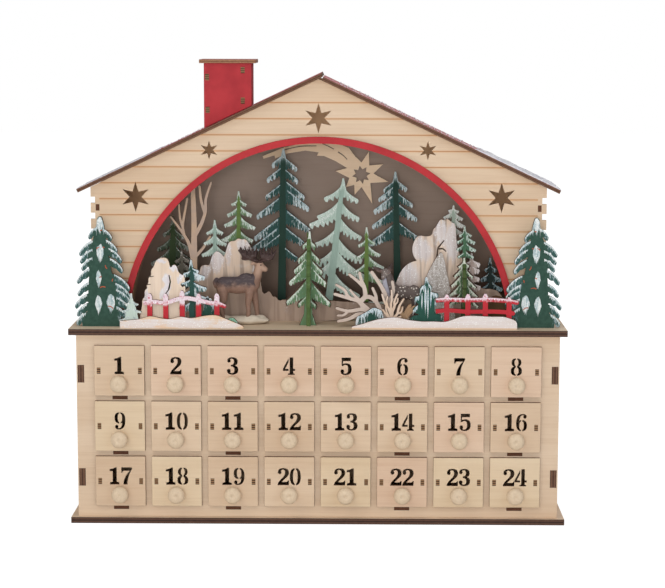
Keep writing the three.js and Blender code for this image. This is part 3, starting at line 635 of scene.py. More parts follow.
@dataclass(frozen=True)
class RoofPaint(Plywood):
    """A roof board: bare underneath, red on top, paler where snow dust lies."""

    def face(self, box: Paintbox) -> Surface:
        """Paints the two sides.

        Args:
            box: The material.

        Returns:
            The painted face.
        """
        under = wood(box, Axis.X, self.light, self.dark)
        up = box.along(box.normal, Axis.Z.value).ramp(-0.1, 0.1)
        dust = box.noise(0.09, 4, 0.65)
        red = box.mix(dust.ramp(0.4, 0.75) * 0.75, srgb(176, 44, 52), srgb(214, 150, 152))
        glitter = box.specks(0.5, 0.06)
        red = box.mix(glitter, red, WHITE)
        return Surface(box.mix(up, under.colour, red), 0.55 + dust * 0.2, under.height)


@dataclass(frozen=True)
class TurnedWood:
    """A turned knob: pale wood with its end grain to the front and faint rings."""

    light: Colour = srgb(226, 205, 177)
    dark: Colour = srgb(192, 166, 134)

    def make(self, name: str) -> bpy.types.Material:
        """Builds the material.

        Args:
            name: The material's name.

        Returns:
            The material.
        """
        box = Paintbox(name)
        rings = box.noise((0.5, 0.12, 0.34), 3, 0.6, 1.2)
        pores = box.noise((2.4, 0.4, 2.4), 2, 0.5)
        tone = rings.ramp(0.35, 0.7) * 0.3 + pores.ramp(0.5, 0.8) * 0.12
        return box.finish(box.mix(tone, self.light, self.dark), 0.45 + pores * 0.1, rings, 0.008, 0.1)


@dataclass(frozen=True)
class GlitterSnow:
    """Thick white snow paste, strewn with glitter."""

    light: Colour = srgb(244, 244, 248)
    dark: Colour = srgb(214, 214, 226)

    def make(self, name: str) -> bpy.types.Material:
        """Builds the material.

        Args:
            name: The material's name.

        Returns:
            The material.
        """
        box = Paintbox(name)
        lumps = box.noise(0.25, 4, 0.6)
        grains = box.noise(1.6, 3, 0.7)
        glitter = box.specks(0.6, 0.12)
        colour = box.mix(lumps.ramp(0.3, 0.75), self.dark, self.light)
        colour = box.mix(glitter, colour, WHITE)
        return box.finish(colour, 0.75 - glitter * 0.5, grains + lumps, 0.25)


@dataclass(frozen=True)
class Resin:
    """A painted resin figure: one colour above, another below, and streaks of hair.

    Attributes:
        above: The colour of the back.
        below: The colour of the belly and legs.
        low: The height below which all is the lower colour.
        high: The height above which all is the upper colour.
        spots: The distance between pale spots on the flank, or 0 for none.
        gloss: The roughness.
    """

    above: Colour
    below: Colour
    low: float
    high: float
    spots: float = 0.0
    gloss: float = 0.5

    def make(self, name: str) -> bpy.types.Material:
        """Builds the material.

        Args:
            name: The material's name.

        Returns:
            The material.
        """
        box = Paintbox(name)
        hair = box.noise((0.35, 0.9, 0.6), 4, 0.65, 0.5)
        patches = box.noise(0.12, 2, 0.5)
        back = (box.z + patches * 8 + hair * 4).ramp(self.low + 6, self.high + 6)
        colour = box.mix(back, self.below, self.above)
        colour = box.mix(hair.ramp(0.5, 0.8) * 0.3, colour, tuple(c * 0.45 for c in self.above))
        colour = box.mix(hair.ramp(0.5, 0.2) * 0.25, colour, tuple(0.3 + c * 0.7 for c in self.below))
        if self.spots:
            cells = {"Vector": box.place, "Scale": 1 / self.spots}
            distance = box.wire("ShaderNodeTexVoronoi", {}, cells, "Distance")
            flank = box.z.ramp(self.low, self.low + 3) * box.z.ramp(self.high + 12, self.high + 9)
            spot = distance.ramp(0.32, 0.22) * flank
            colour = box.mix(spot, colour, srgb(226, 218, 208))
        return box.finish(colour, self.gloss + hair * 0.2, hair, 0.18)


@dataclass(frozen=True)
class EndGrain:
    """The end of a tab that shows in a face: burnt layers with paler ones between them.

    Attributes:
        axis: The way the layers are stacked.
        pitch: The distance between layers.
        pale: The paler layers.
        dark: The burnt layers.
    """

    axis: Direction = Axis.Z.value
    pitch: float = 1.6
    pale: Colour = srgb(168, 130, 92)
    dark: Colour = srgb(54, 32, 24)

    def make(self, name: str) -> bpy.types.Material:
        """Builds the material.

        Args:
            name: The material's name.

        Returns:
            The material.
        """
        box = Paintbox(name)
        layer = abs((box.along(box.place, self.axis) / self.pitch).math("FRACT") - 0.5)
        soot = box.noise(0.9, 3, 0.6)
        tone = layer.ramp(0.2, 0.3) * 0.85 + soot * 0.3
        return box.finish(box.mix(tone, self.pale, self.dark), 0.8, layer, 0.05)


# Flat shapes

def arc(centre: Point, radius: float, start: float, end: float, steps: int = 48) -> Loop:
    """Gives the points of an arc in so many chords, its angles in degrees anticlockwise from +X."""
    angles = (math.radians(start + (end - start) * step / steps) for step in range(steps + 1))
    return [(centre[0] + radius * math.cos(a), centre[1] + radius * math.sin(a)) for a in angles]


def bow(start: Point, control: Point, end: Point, steps: int = 6) -> Loop:
    """Gives points along a quadratic curve, its start left out.

    Args:
        start: Where it starts.
        control: The point that pulls it.
        end: Where it ends.
        steps: The number of chords.

    Returns:
        The points after the start.
    """
    points = []
    for step in range(1, steps + 1):
        t = step / steps
        weights = ((1 - t) ** 2, 2 * t * (1 - t), t * t)
        points.append(tuple(
            weights[0] * a + weights[1] * b + weights[2] * c for a, b, c in zip(start, control, end)))
    return points


def rectangle(x0: float, x1: float, z0: float, z1: float) -> Loop:
    """Gives an upright rectangle."""
    return [(x0, z0), (x1, z0), (x1, z1), (x0, z1)]


def star(centre: Point, tip: float, points: int = 6, waist: float = 0.4, turn: float = 90.0) -> Loop:
    """Gives a star.

    Args:
        centre: Its centre.
        tip: The reach of its points.
        points: The number of points.
        waist: The inner corners' reach as a share of the tip.
        turn: The angle of the first point, in degrees.

    Returns:
        The outline.
    """
    corners = []
    for index in range(2 * points):
        reach = tip * (waist if index % 2 else 1)
        angle = math.radians(turn + index * 180 / points)
        corners.append((centre[0] + reach * math.cos(angle), centre[1] + reach * math.sin(angle)))
    return corners


def ribbon(spine: Sequence[Point], start_half: float, end_half: float, bluntness: float = 0.9) -> Loop:
    """Gives a band along a line, as a branch or a rail.

    Args:
        spine: The line.
        start_half: Half the width at its start.
        end_half: Half the width at its end.
        bluntness: How far the round end stands out, as a share of the end's half width.

    Returns:
        The outline.
    """
    left, right = [], []
    last = len(spine) - 1
    for index, (x, z) in enumerate(spine):
        before, after = spine[max(0, index - 1)], spine[min(last, index + 1)]
        run = math.hypot(after[0] - before[0], after[1] - before[1])
        way = ((after[0] - before[0]) / run, (after[1] - before[1]) / run)
        half = start_half + (end_half - start_half) * index / last
        left.append((x - way[1] * half, z + way[0] * half))
        right.append((x + way[1] * half, z - way[0] * half))
        if index == last:
            tip = (x + way[0] * half * bluntness, z + way[1] * half * bluntness)
    return [*left, tip, *reversed(right)]


def smooth(points: Sequence[Point], steps: int = 4, closed: bool = True) -> Loop:
    """Rounds an outline through its points.

    Args:
        points: The points that the curve passes.
        steps: The number of chords between two points.
        closed: Whether the outline closes on itself.

    Returns:
        The rounded outline.
    """
    count = len(points)
    spans = count if closed else count - 1
    rounded = []
    for index in range(spans):
        if closed:
            a, b, c, d = (points[(index + offset) % count] for offset in (-1, 0, 1, 2))
        else:
            a, b, c, d = (points[min(max(index + offset, 0), count - 1)] for offset in (-1, 0, 1, 2))
        for step in range(steps):
            t = step / steps
            rounded.append(tuple(
                0.5 * (2 * q + (r - p) * t + (2 * p - 5 * q + 4 * r - s) * t * t
                       + (3 * q - p - 3 * r + s) * t ** 3)
                for p, q, r, s in zip(a, b, c, d)))
    return rounded if closed else [*rounded, tuple(points[-1])]


def standing(points: Sequence[Point], steps: int = 4) -> Loop:
    """Rounds an outline but keeps its straight foot, which its first and last points give."""
    return [tuple(points[0]), *smooth(points[1:-1], steps, False), tuple(points[-1])]


def chipped(points: Sequence[Point], cut: float = 0.28) -> Loop:
    """Cuts every corner of an outline off, so that it looks broken and worn.

    Args:
        points: The outline.
        cut: How far along each side a corner is cut.

    Returns:
        The outline with two points for each corner.
    """
    worn = []
    for first, second in zip(points, (*points[1:], points[0])):
        for share in (cut, 1 - cut):
            worn.append(tuple(a + (b - a) * share for a, b in zip(first, second)))
    return worn


def between(line: Sequence[Point], share: float) -> Point:
    """Gives a point at a share of a line's chords.

    Args:
        line: The line.
        share: 0 for its start, 1 for its end.

    Returns:
        The point.
    """
    place = share * (len(line) - 1)
    index = min(int(place), len(line) - 2)
    rest = place - index
    return tuple(a + (b - a) * rest for a, b in zip(line[index], line[index + 1]))


def icing(edge: Sequence[Point], start: float, end: float, rng: random.Random, step: float = 0.8) -> Loop:
    """Gives a patch of snow that hangs from a line in strokes of uneven length.

    Args:
        edge: The line, which is the patch's upper side.
        start: The strokes' length at the line's start.
        end: Their length at its end.
        rng: The source of the unevenness.
        step: The distance between strokes.

    Returns:
        The outline.
    """
    length = sum(math.dist(first, second) for first, second in zip(edge, edge[1:]))
    count = max(3, round(length / step))
    under = []
    for index in range(count + 1):
        x, z = between(edge, 1 - index / count)
        full = end + (start - end) * index / count
        stroke = full * (rng.uniform(0.55, 1.2) if index % 2 else rng.uniform(0.1, 0.5))
        under.append((x, z - 0.3 - stroke))
    return [*edge, *under]


def brushed(x: float, z: float, wide: float, high: float, rng: random.Random) -> Loop:
    """Gives an upright oval patch whose foot ends in brush strokes.

    Args:
        x: The patch's middle, across.
        z: Its middle, up.
        wide: Half its width.
        high: Half its height.
        rng: The source of the unevenness.

    Returns:
        The outline.
    """
    steps = 12
    upper = []
    for step in range(steps + 1):
        angle = math.pi * step / steps
        reach = rng.uniform(0.84, 1.08)
        upper.append((x + wide * math.cos(angle) * rng.uniform(0.9, 1.1), z + high * math.sin(angle) * reach))
    lower = []
    for step in range(1, 2 * steps):
        u = -1 + step / steps
        fall = high * (1 - abs(u)) ** 0.7 * (rng.uniform(1, 1.4) if step % 2 else rng.uniform(0.6, 0.95))
        lower.append((x + wide * u, z - fall))
    return [*upper, *lower]


def path(text: str) -> Loop:
    """Reads points written as "4,0 6,2", where the word deck stands for the deck's height."""
    values = (pair.split(",") for pair in text.split())
    return [(float(x), DECK if z == "deck" else float(z)) for x, z in values]


def shape_of(text: str) -> list[Loop]:
    """Reads an outline written as moves, lines and quadratic curves.

    Args:
        text: Pieces such as "M0,0 L4,0 Q6,2 4,4", with one M for each closed loop.

    Returns:
        The loops.
    """
    loops: list[Loop] = []
    control: Point | None = None
    for word in text.split():
        letter = word[0] if word[0] in "MLQ" else ""
        x, z = (float(value) for value in word[len(letter):].split(","))
        if letter == "M":
            loops.append([(x, z)])
        elif letter == "Q":
            control = (x, z)
        elif control is not None:
            loops[-1].extend(bow(loops[-1][-1], control, (x, z)))
            control = None
        else:
            loops[-1].append((x, z))
    return loops


# Meshes

def anticlockwise(loop: Sequence[Point]) -> Loop:
    """Gives an outline with its points in anticlockwise order."""
    twice = sum(a[0] * b[1] - b[0] * a[1] for a, b in zip(loop, (*loop[1:], loop[0])))
    return list(loop) if twice > 0 else list(reversed(loop))


def plate(name: str, solids: Sequence[Loop], holes: Sequence[Loop] = (), start: float = 0.0,
          thickness: float = PLY, axis: Axis = Axis.Y, softened: float = 0.0) -> bpy.types.Mesh:
    """Cuts a plate out of a sheet: the joined outlines, less the holes.

    Args:
        name: The mesh's name.
        solids: Outlines that are joined.
        holes: Outlines that are cut out.
        start: Where the plate starts along its axis, in millimetres.
        thickness: Its thickness.
        axis: The way its thickness runs.
        softened: How far its outermost edges are rounded.

    Returns:
        A closed mesh in metres.
    """
    loops = [anticlockwise(loop) for loop in (*solids, *holes)]
    corners = [Vector(point) for loop in loops for point in loop]
    faces, first = [], 0
    for loop in loops:
        faces.append(list(range(first, first + len(loop))))
        first += len(loop)
    flat, _, triangles, _, _, sources = geometry.delaunay_2d_cdt(corners, [], faces, 1, 1e-5)
    kept = [triangle for triangle, owners in zip(triangles, sources)
            if owners and all(owner < len(solids) for owner in owners)]

    def place(point: Vector, depth: float) -> Vector:
        """Puts a flat point at a depth."""
        a, b, c = point[0] * MM, point[1] * MM, (start + depth) * MM
        return Vector({Axis.X: (c, a, b), Axis.Y: (a, c, b), Axis.Z: (a, b, c)}[axis])

    bm = bmesh.new()
    near, far = {}, {}
    for index in sorted({index for triangle in kept for index in triangle}):
        near[index] = bm.verts.new(place(flat[index], 0))
        far[index] = bm.verts.new(place(flat[index], thickness))
    rim: dict = {}
    for triangle in kept:
        bm.faces.new([near[index] for index in triangle])
        bm.faces.new([far[index] for index in reversed(triangle)])
        for a, b in zip(triangle, (*triangle[1:], triangle[0])):
            rim[(a, b)] = rim.get((a, b), 0) + 1
    for a, b in rim:
        if (b, a) not in rim:
            bm.faces.new([near[b], near[a], far[a], far[b]])
    bmesh.ops.recalc_face_normals(bm, faces=bm.faces)
    join_flat_faces(bm)
    if softened:
        round_edges(bm, outer_edges(bm), softened)
    return mesh_from(bm, name)


def mesh_from(bm: bmesh.types.BMesh, name: str) -> bpy.types.Mesh:
    """Turns an edit mesh into a mesh and frees it.

    Args:
        bm: The edit mesh.
        name: The mesh's name.

    Returns:
        The mesh.
    """
    mesh = bpy.data.meshes.new(name)
    bm.to_mesh(mesh)
    bm.free()
    return mesh


def above_deck(mesh: bpy.types.Mesh) -> bpy.types.Mesh:
    """Cuts off whatever a rounded outline has put below the deck.

    Args:
        mesh: The mesh, which is changed.

    Returns:
        The same mesh.
    """
    for vertex in mesh.vertices:
        vertex.co.z = max(vertex.co.z, DECK * MM)
    return mesh


def smoothed(mesh: bpy.types.Mesh) -> bpy.types.Mesh:
    """Shades a mesh smoothly.

    Args:
        mesh: The mesh, which is changed.

    Returns:
        The same mesh.
    """
    for face in mesh.polygons:
        face.use_smooth = True
    return mesh


def join_flat_faces(bm: bmesh.types.BMesh) -> None:
    """Joins faces that lie in one plane."""
    bmesh.ops.dissolve_limit(bm, angle_limit=math.radians(0.4), verts=bm.verts, edges=bm.edges)


def round_edges(bm: bmesh.types.BMesh, edges: list[bmesh.types.BMEdge], amount: float) -> None:
    """Rounds edges by an amount in millimetres."""
    bmesh.ops.bevel(
        bm, geom=edges, offset=amount * MM, segments=2, profile=0.6, affect="EDGES", clamp_overlap=True)


def outer_edges(bm: bmesh.types.BMesh) -> list[bmesh.types.BMEdge]:
    """Gives the edges that lie on two sides of a shape's box.

    Args:
        bm: The shape.

    Returns:
        The edges.
    """
    sides = [(axis, pick(vert.co[axis] for vert in bm.verts)) for axis in range(3) for pick in (min, max)]

    def count(edge: bmesh.types.BMEdge) -> int:
        """Counts the sides of the box that an edge lies on."""
        return sum(all(abs(vert.co[axis] - side) < CLOSE for vert in edge.verts) for axis, side in sides)

    return [edge for edge in bm.edges if count(edge) >= 2]


def copy_of(node: str, name: str, softened: float) -> bpy.types.Mesh:
    """Copies a frame piece, merges its loose triangles and rounds its sharp edges.

    Args:
        node: The frame piece.
        name: The new mesh's name.
        softened: The rounding in millimetres.

    Returns:
        The mesh.
    """
    bm = bmesh.new()
    bm.from_mesh(bpy.data.objects[node].data)
    bmesh.ops.remove_doubles(bm, verts=bm.verts, dist=CLOSE)
    join_flat_faces(bm)
    if softened:
        sharp = [edge for edge in bm.edges
                 if len(edge.link_faces) == 2 and edge.calc_face_angle(0.0) > math.radians(25)]
        round_edges(bm, sharp, softened)
    return mesh_from(bm, name)


def merged(name: str, meshes: Iterable[tuple[bpy.types.Mesh, int]]) -> bpy.types.Mesh:
    """Puts several meshes into one, each with its own material number.

    Args:
        name: The new mesh's name.
        meshes: Each mesh with its material number.

    Returns:
        The mesh.
    """
    bm = bmesh.new()
    for mesh, number in meshes:
        known = len(bm.faces)
        bm.from_mesh(mesh)
        bm.faces.ensure_lookup_table()
        for face in bm.faces[known:]:
            face.material_index = number
        bpy.data.meshes.remove(mesh)
    return mesh_from(bm, name)


def turned(name: str, profile: Sequence[Point], x: float, face: float, z: float,
           sides: int = 40) -> bpy.types.Mesh:
    """Turns a profile about a line that runs towards the front.

    Args:
        name: The mesh's name.
        profile: Radius and distance from the face, from the face outwards, ending on the axis.
        x: Where the axis lies across.
        face: Where the profile starts, along Y.
        z: The axis's height.
        sides: The number of sides.

    Returns:
        A closed mesh with smooth faces.
    """
    bm = bmesh.new()
    rings = []
    for radius, out in profile:
        if radius < CLOSE:
            rings.append([bm.verts.new(Vector((x, face - out, z)) * MM)])
            continue
        angles = (2 * math.pi * side / sides for side in range(sides))
        rings.append([
            bm.verts.new(Vector((x + radius * math.cos(a), face - out, z + radius * math.sin(a))) * MM)
            for a in angles])
    for first, second in zip(rings, rings[1:]):
        for side in range(sides):
            after = (side + 1) % sides
            if len(second) == 1:
                bm.faces.new([first[side], first[after], second[0]])
            elif len(first) == 1:
                bm.faces.new([second[after], second[side], first[0]])
            else:
                bm.faces.new([first[side], first[after], second[after], second[side]])
    bmesh.ops.recalc_face_normals(bm, faces=bm.faces)
    for part in bm.faces:
        part.smooth = True
    return mesh_from(bm, name)


def box_of(node: str) -> tuple[Vector, Vector]:
    """Gives a frame piece's lowest and highest corners in millimetres."""
    low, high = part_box(node)
    return low / MM, high / MM


def add(name: str, mesh: bpy.types.Mesh, materials: Sequence[bpy.types.Material], slot: str,
        body: str = MAIN_BODY, stands_for: Sequence[str] = ()) -> bpy.types.Object:
    """Adds a finished piece to the scene and to the frame.

    Args:
        name: The piece's name.
        mesh: Its mesh, in place.
        materials: Its materials in order.
        slot: A material slot's name, which is not used.
        body: The body that it rides on.
        stands_for: The frame pieces that it replaces.

    Returns:
        The piece.
    """
    piece = bpy.data.objects.new(name, mesh)
    bpy.context.scene.collection.objects.link(piece)
    for material in materials:
        mesh.materials.append(material)
    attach(piece, body)
    if stands_for:
        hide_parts(*stands_for)
    log.info("%s: %d faces on %s", name, len(mesh.polygons), body)
    return piece


def stand_in(node: str, suffix: str, finish: Plywood, slot: str, softened: float = 0.15) -> None:
    """Puts a finished copy of a frame piece in its place, named after it, with rounded edges."""
    name = f"{node}_{suffix}"
    add(name, copy_of(node, name, softened), [finish.make(f"{name}_finish")], slot, stands_for=[node])


def evaluated(name: str, carrier: bpy.types.Object, tree: bpy.types.NodeTree,
              values: dict[str, float | int]) -> bpy.types.Mesh:
    """Runs a geometry tree on a carrier and gives the result as a plain mesh.

    Args:
        name: The new mesh's name.
        carrier: The object that the tree starts from, which is removed.
        tree: The tree.
        values: The tree's inputs by name.

    Returns:
        The mesh.
    """
    modifier = carrier.modifiers.new("growth", "NODES")
    modifier.node_group = tree
    for item in tree.interface.items_tree:
        if item.item_type == "SOCKET" and item.in_out == "INPUT" and item.name in values:
            modifier[item.identifier] = values[item.name]
    return baked(name, carrier)


def baked(name: str, carrier: bpy.types.Object) -> bpy.types.Mesh:
    """Gives what a carrier's modifiers make as a plain mesh.

    Args:
        name: The new mesh's name.
        carrier: The object, which is removed.

    Returns:
        The mesh.
    """
    graph = bpy.context.evaluated_depsgraph_get()
    graph.update()
    mesh = bpy.data.meshes.new_from_object(carrier.evaluated_get(graph))
    mesh.name = name
    data = carrier.data
    bpy.data.objects.remove(carrier)
    bpy.data.meshes.remove(data)
    return mesh


def carrier_of(mesh: bpy.types.Mesh) -> bpy.types.Object:
    """Puts a mesh on an object that only carries modifiers.

    Args:
        mesh: The mesh.

    Returns:
        The object.
    """
    carrier = bpy.data.objects.new("carrier", mesh)
    bpy.context.scene.collection.objects.link(carrier)
    return carrier


# Cabinet

@dataclass(frozen=True)
class CabinetSizes:
    """Where the cabinet's plates lie, in millimetres.

    Attributes:
        board: The thickness of the base and deck boards.
        deck: The height of the deck's top.
        front: The front panel's front face.
        back: The back panel's front face.
        side: The side panels' outer faces, from the middle.
        side_thickness: Their thickness.
    """

    board: float = 5.0
    deck: float = DECK
    front: float = -46.0
    back: float = 43.0
    side: float = 191.0
    side_thickness: float = 5.0


class Cabinet:
    """The boards, panels, shelves and dividers that hold the drawers."""

    def __init__(self, sizes: CabinetSizes = CabinetSizes()) -> None:
        """Builds every fixed plate of the cabinet.

        Args:
            sizes: Where the plates lie.
        """
        self.sizes = sizes
        self.make_boards()
        self.make_panels()
        self.make_grid()

    def make_boards(self) -> None:
        """Makes the base board and the deck board, with layered burnt edges."""
        edges = {"layers": 2, "edge_dark": srgb(40, 25, 24), "edge_light": srgb(104, 76, 62)}
        board, lie = self.sizes.board, Axis.Z.value
        stand_in("base_board", "wood", Plywood(0, lie, board, **edges), "edge_board", 0.4)
        deck = Plywood(self.sizes.deck - board, lie, board, light=srgb(226, 205, 178),
                       dark=srgb(202, 180, 152), **edges)
        stand_in("deck_board", "wood", deck, "edge_board", 0.4)

    def make_panels(self) -> None:
        """Makes the front, the back and the two sides."""
        sizes = self.sizes
        for node, start in (("cabinet_front", sizes.front), ("cabinet_back", sizes.back)):
            stand_in(node, "ply", Plywood(start), "birch_plywood")
        for side, start in (("left", -sizes.side), ("right", sizes.side - sizes.side_thickness)):
            finish = Plywood(start, Axis.X.value, sizes.side_thickness, Axis.Y, 2, edge_dark=srgb(66, 42, 34),
                             edge_light=srgb(122, 90, 70))
            stand_in(f"cabinet_side_{side}", "ply", finish, "birch_plywood", 0.2)

    def make_grid(self) -> None:
        """Makes the shelves and dividers, slotted into each other."""
        for kind, count, axis, grain in (("shelf", 3, Axis.Z, Axis.X), ("divider", 7, Axis.X, Axis.Y)):
            for index in range(1, count + 1):
                node = f"{kind}_{index}"
                low, _ = box_of(node)
                finish = Plywood(low[0] if axis is Axis.X else low[2], axis.value, PLY, grain)
                stand_in(node, "ply", finish, "birch_plywood", 0)


# Drawers

HALF_OF_8 = ("M-0.5,14 Q-3.9,13.9 -3.9,10.5 Q-3.9,8.2 -2,7.4 Q-4.4,6.6 -4.4,3.7 Q-4.4,0.1 -0.5,0 L-0.5,1.1 "
             "Q-1.7,1.4 -1.7,3.7 Q-1.7,6 -0.5,6.5 L-0.5,8 Q-1.5,8.4 -1.5,10.5 Q-1.5,12.7 -0.5,13")
HALF_OF_0 = ("M-0.5,14 Q-4.4,13.8 -4.4,7 Q-4.4,0.2 -0.5,0 L-0.5,1.3 Q-1.8,1.8 -1.8,7 Q-1.8,12.2 -0.5,12.7")
NINE = ("M-0.5,14 Q-4.3,13.8 -4.3,9.4 Q-4.3,5.1 -0.5,4.9 L-0.5,6.1 Q-1.7,6.3 -1.7,9.4 Q-1.7,12.6 -0.5,12.9 "
        "M0.5,14 Q4.4,13.6 4.4,7.6 Q4.4,0 -0.8,0 Q-3.8,0 -3.9,2.3 Q-3.8,3.7 -2.6,3.8 Q-1.3,3.7 -1.3,2.4 "
        "Q-1.3,1.8 -1.7,1.4 Q-1.2,1 -0.6,1.1 Q1.4,1.3 1.8,5.6 Q1.3,5 0.5,4.9 L0.5,6.1 "
        "Q1.8,6.4 1.8,9.4 Q1.8,12.6 0.5,12.9")
DIGITS = {
    "1": "M-3.7,0 L3.7,0 L3.7,1.8 L1.7,2.2 L1.7,14 L0.4,14 Q-1,12.8 -3.9,12.5 L-3.9,10.8 L-1.6,10.9 "
         "L-1.6,2.2 L-3.7,1.8",
    "2": "M-4.5,0 L4.4,0 L4.6,3.9 L3.7,3.9 Q3.3,2.7 2.2,2.7 L-1.2,2.7 Q0.5,4.6 2.8,6.6 Q4.5,8.2 4.5,10.2 "
         "Q4.5,14 0.1,14 Q-4.2,14 -4.3,10.7 Q-4.3,9.2 -2.9,9 Q-1.5,9 -1.4,10.4 Q-1.4,11.2 -1.9,11.7 "
         "Q-1.3,12.8 -0.2,12.7 Q1.5,12.5 1.4,10.1 Q1.3,8 -1,5.8 Q-3.9,3 -4.5,0.9",
    "3": "M-4.4,3.3 Q-4.3,0 0,0 Q4.6,0 4.6,4 Q4.6,6.6 2,7.3 Q4.2,8 4.2,10.4 Q4.2,14 0,14 "
         "Q-4.1,14 -4.1,11.2 Q-4.1,9.8 -2.8,9.7 Q-1.4,9.8 -1.4,11.1 Q-1.4,11.8 -1.9,12.2 "
         "Q-1.3,12.9 -0.4,12.8 Q1.2,12.7 1.2,10.4 Q1.2,8 -1.2,7.9 L-1.2,6.6 Q1.5,6.6 1.5,3.9 "
         "Q1.5,1.2 -0.3,1.2 Q-1.4,1.2 -2,1.8 Q-1.4,2.4 -1.4,3.1 Q-1.4,4.5 -2.9,4.6 Q-4.4,4.5 -4.4,3.3",
    "4": "M0.4,14 L3.2,14 L3.2,4.8 L4.8,4.8 L4.8,3.2 L3.2,3.2 L3.2,1.3 L4.3,1.1 L4.3,0 L-1,0 L-1,1.1 "
         "L0.4,1.3 M-0.5,13.4 L-5,4.8 L-5,3.2 L-0.5,3.2 L-0.5,4.8 L-3.2,4.8 L-0.5,10.2",
    "5": "M-3.4,14 L3.9,14 L3.9,11.2 L-2.3,11.2 L-2.5,8.9 Q-1,9.6 0.6,9.5 Q4.5,9.3 4.6,4.8 Q4.6,0 -0.2,0 "
         "Q-4.2,0 -4.3,3.2 Q-4.2,4.5 -2.9,4.6 Q-1.5,4.5 -1.4,3.1 Q-1.4,2.3 -2,1.7 Q-1.3,1.1 -0.4,1.2 "
         "Q1.7,1.3 1.7,4.8 Q1.7,8 -0.2,8.1 Q-1.6,8.1 -2.4,7.2 L-3.4,7.3",
    "7": "M-4.2,14 L4.3,14 L4.3,12.6 Q1.6,8 0.9,3.4 Q0.6,1.6 0.7,0 L-2.6,0 Q-2.6,3.4 -0.8,6.6 "
         "Q0.6,9.2 2.6,11.2 L-2,11.2 Q-3.2,11.2 -3.4,9.6 L-4.2,9.6",
    "9": NINE,
}


def digit_loops(digit: str) -> list[Loop]:
    """Gives a stencil digit's openings, centred across, with its foot at 0.

    Args:
        digit: The digit.

    Returns:
        The openings.
    """
    if digit == "6":
        return [[(-x, 14 - z) for x, z in loop] for loop in shape_of(NINE)]
    if digit in "08":
        half = shape_of(HALF_OF_0 if digit == "0" else HALF_OF_8)
        return half + [[(-x, z) for x, z in loop] for loop in half]
    return shape_of(DIGITS[digit])


@dataclass(frozen=True)
class DrawerSizes:
    """A drawer's measures in millimetres, and its place in the grid."""

    columns: int = 8
    rows: int = 3
    pitch: float = 45.0
    row_pitch: float = 44.8
    top_foot: float = 103.6
    front: float = -49.2
    half_width: float = 20.0
    height: float = 40.5
    tray_half: float = 17.9
    tray_height: float = 36.0
    tray_back: float = 37.0
    wall: float = 3.0
    tab_middle: float = 20.25
    tab_half: float = 2.5
    knob_rise: float = 10.5
    number_rise: float = 17.5
    digit_pitch: float = 9.6


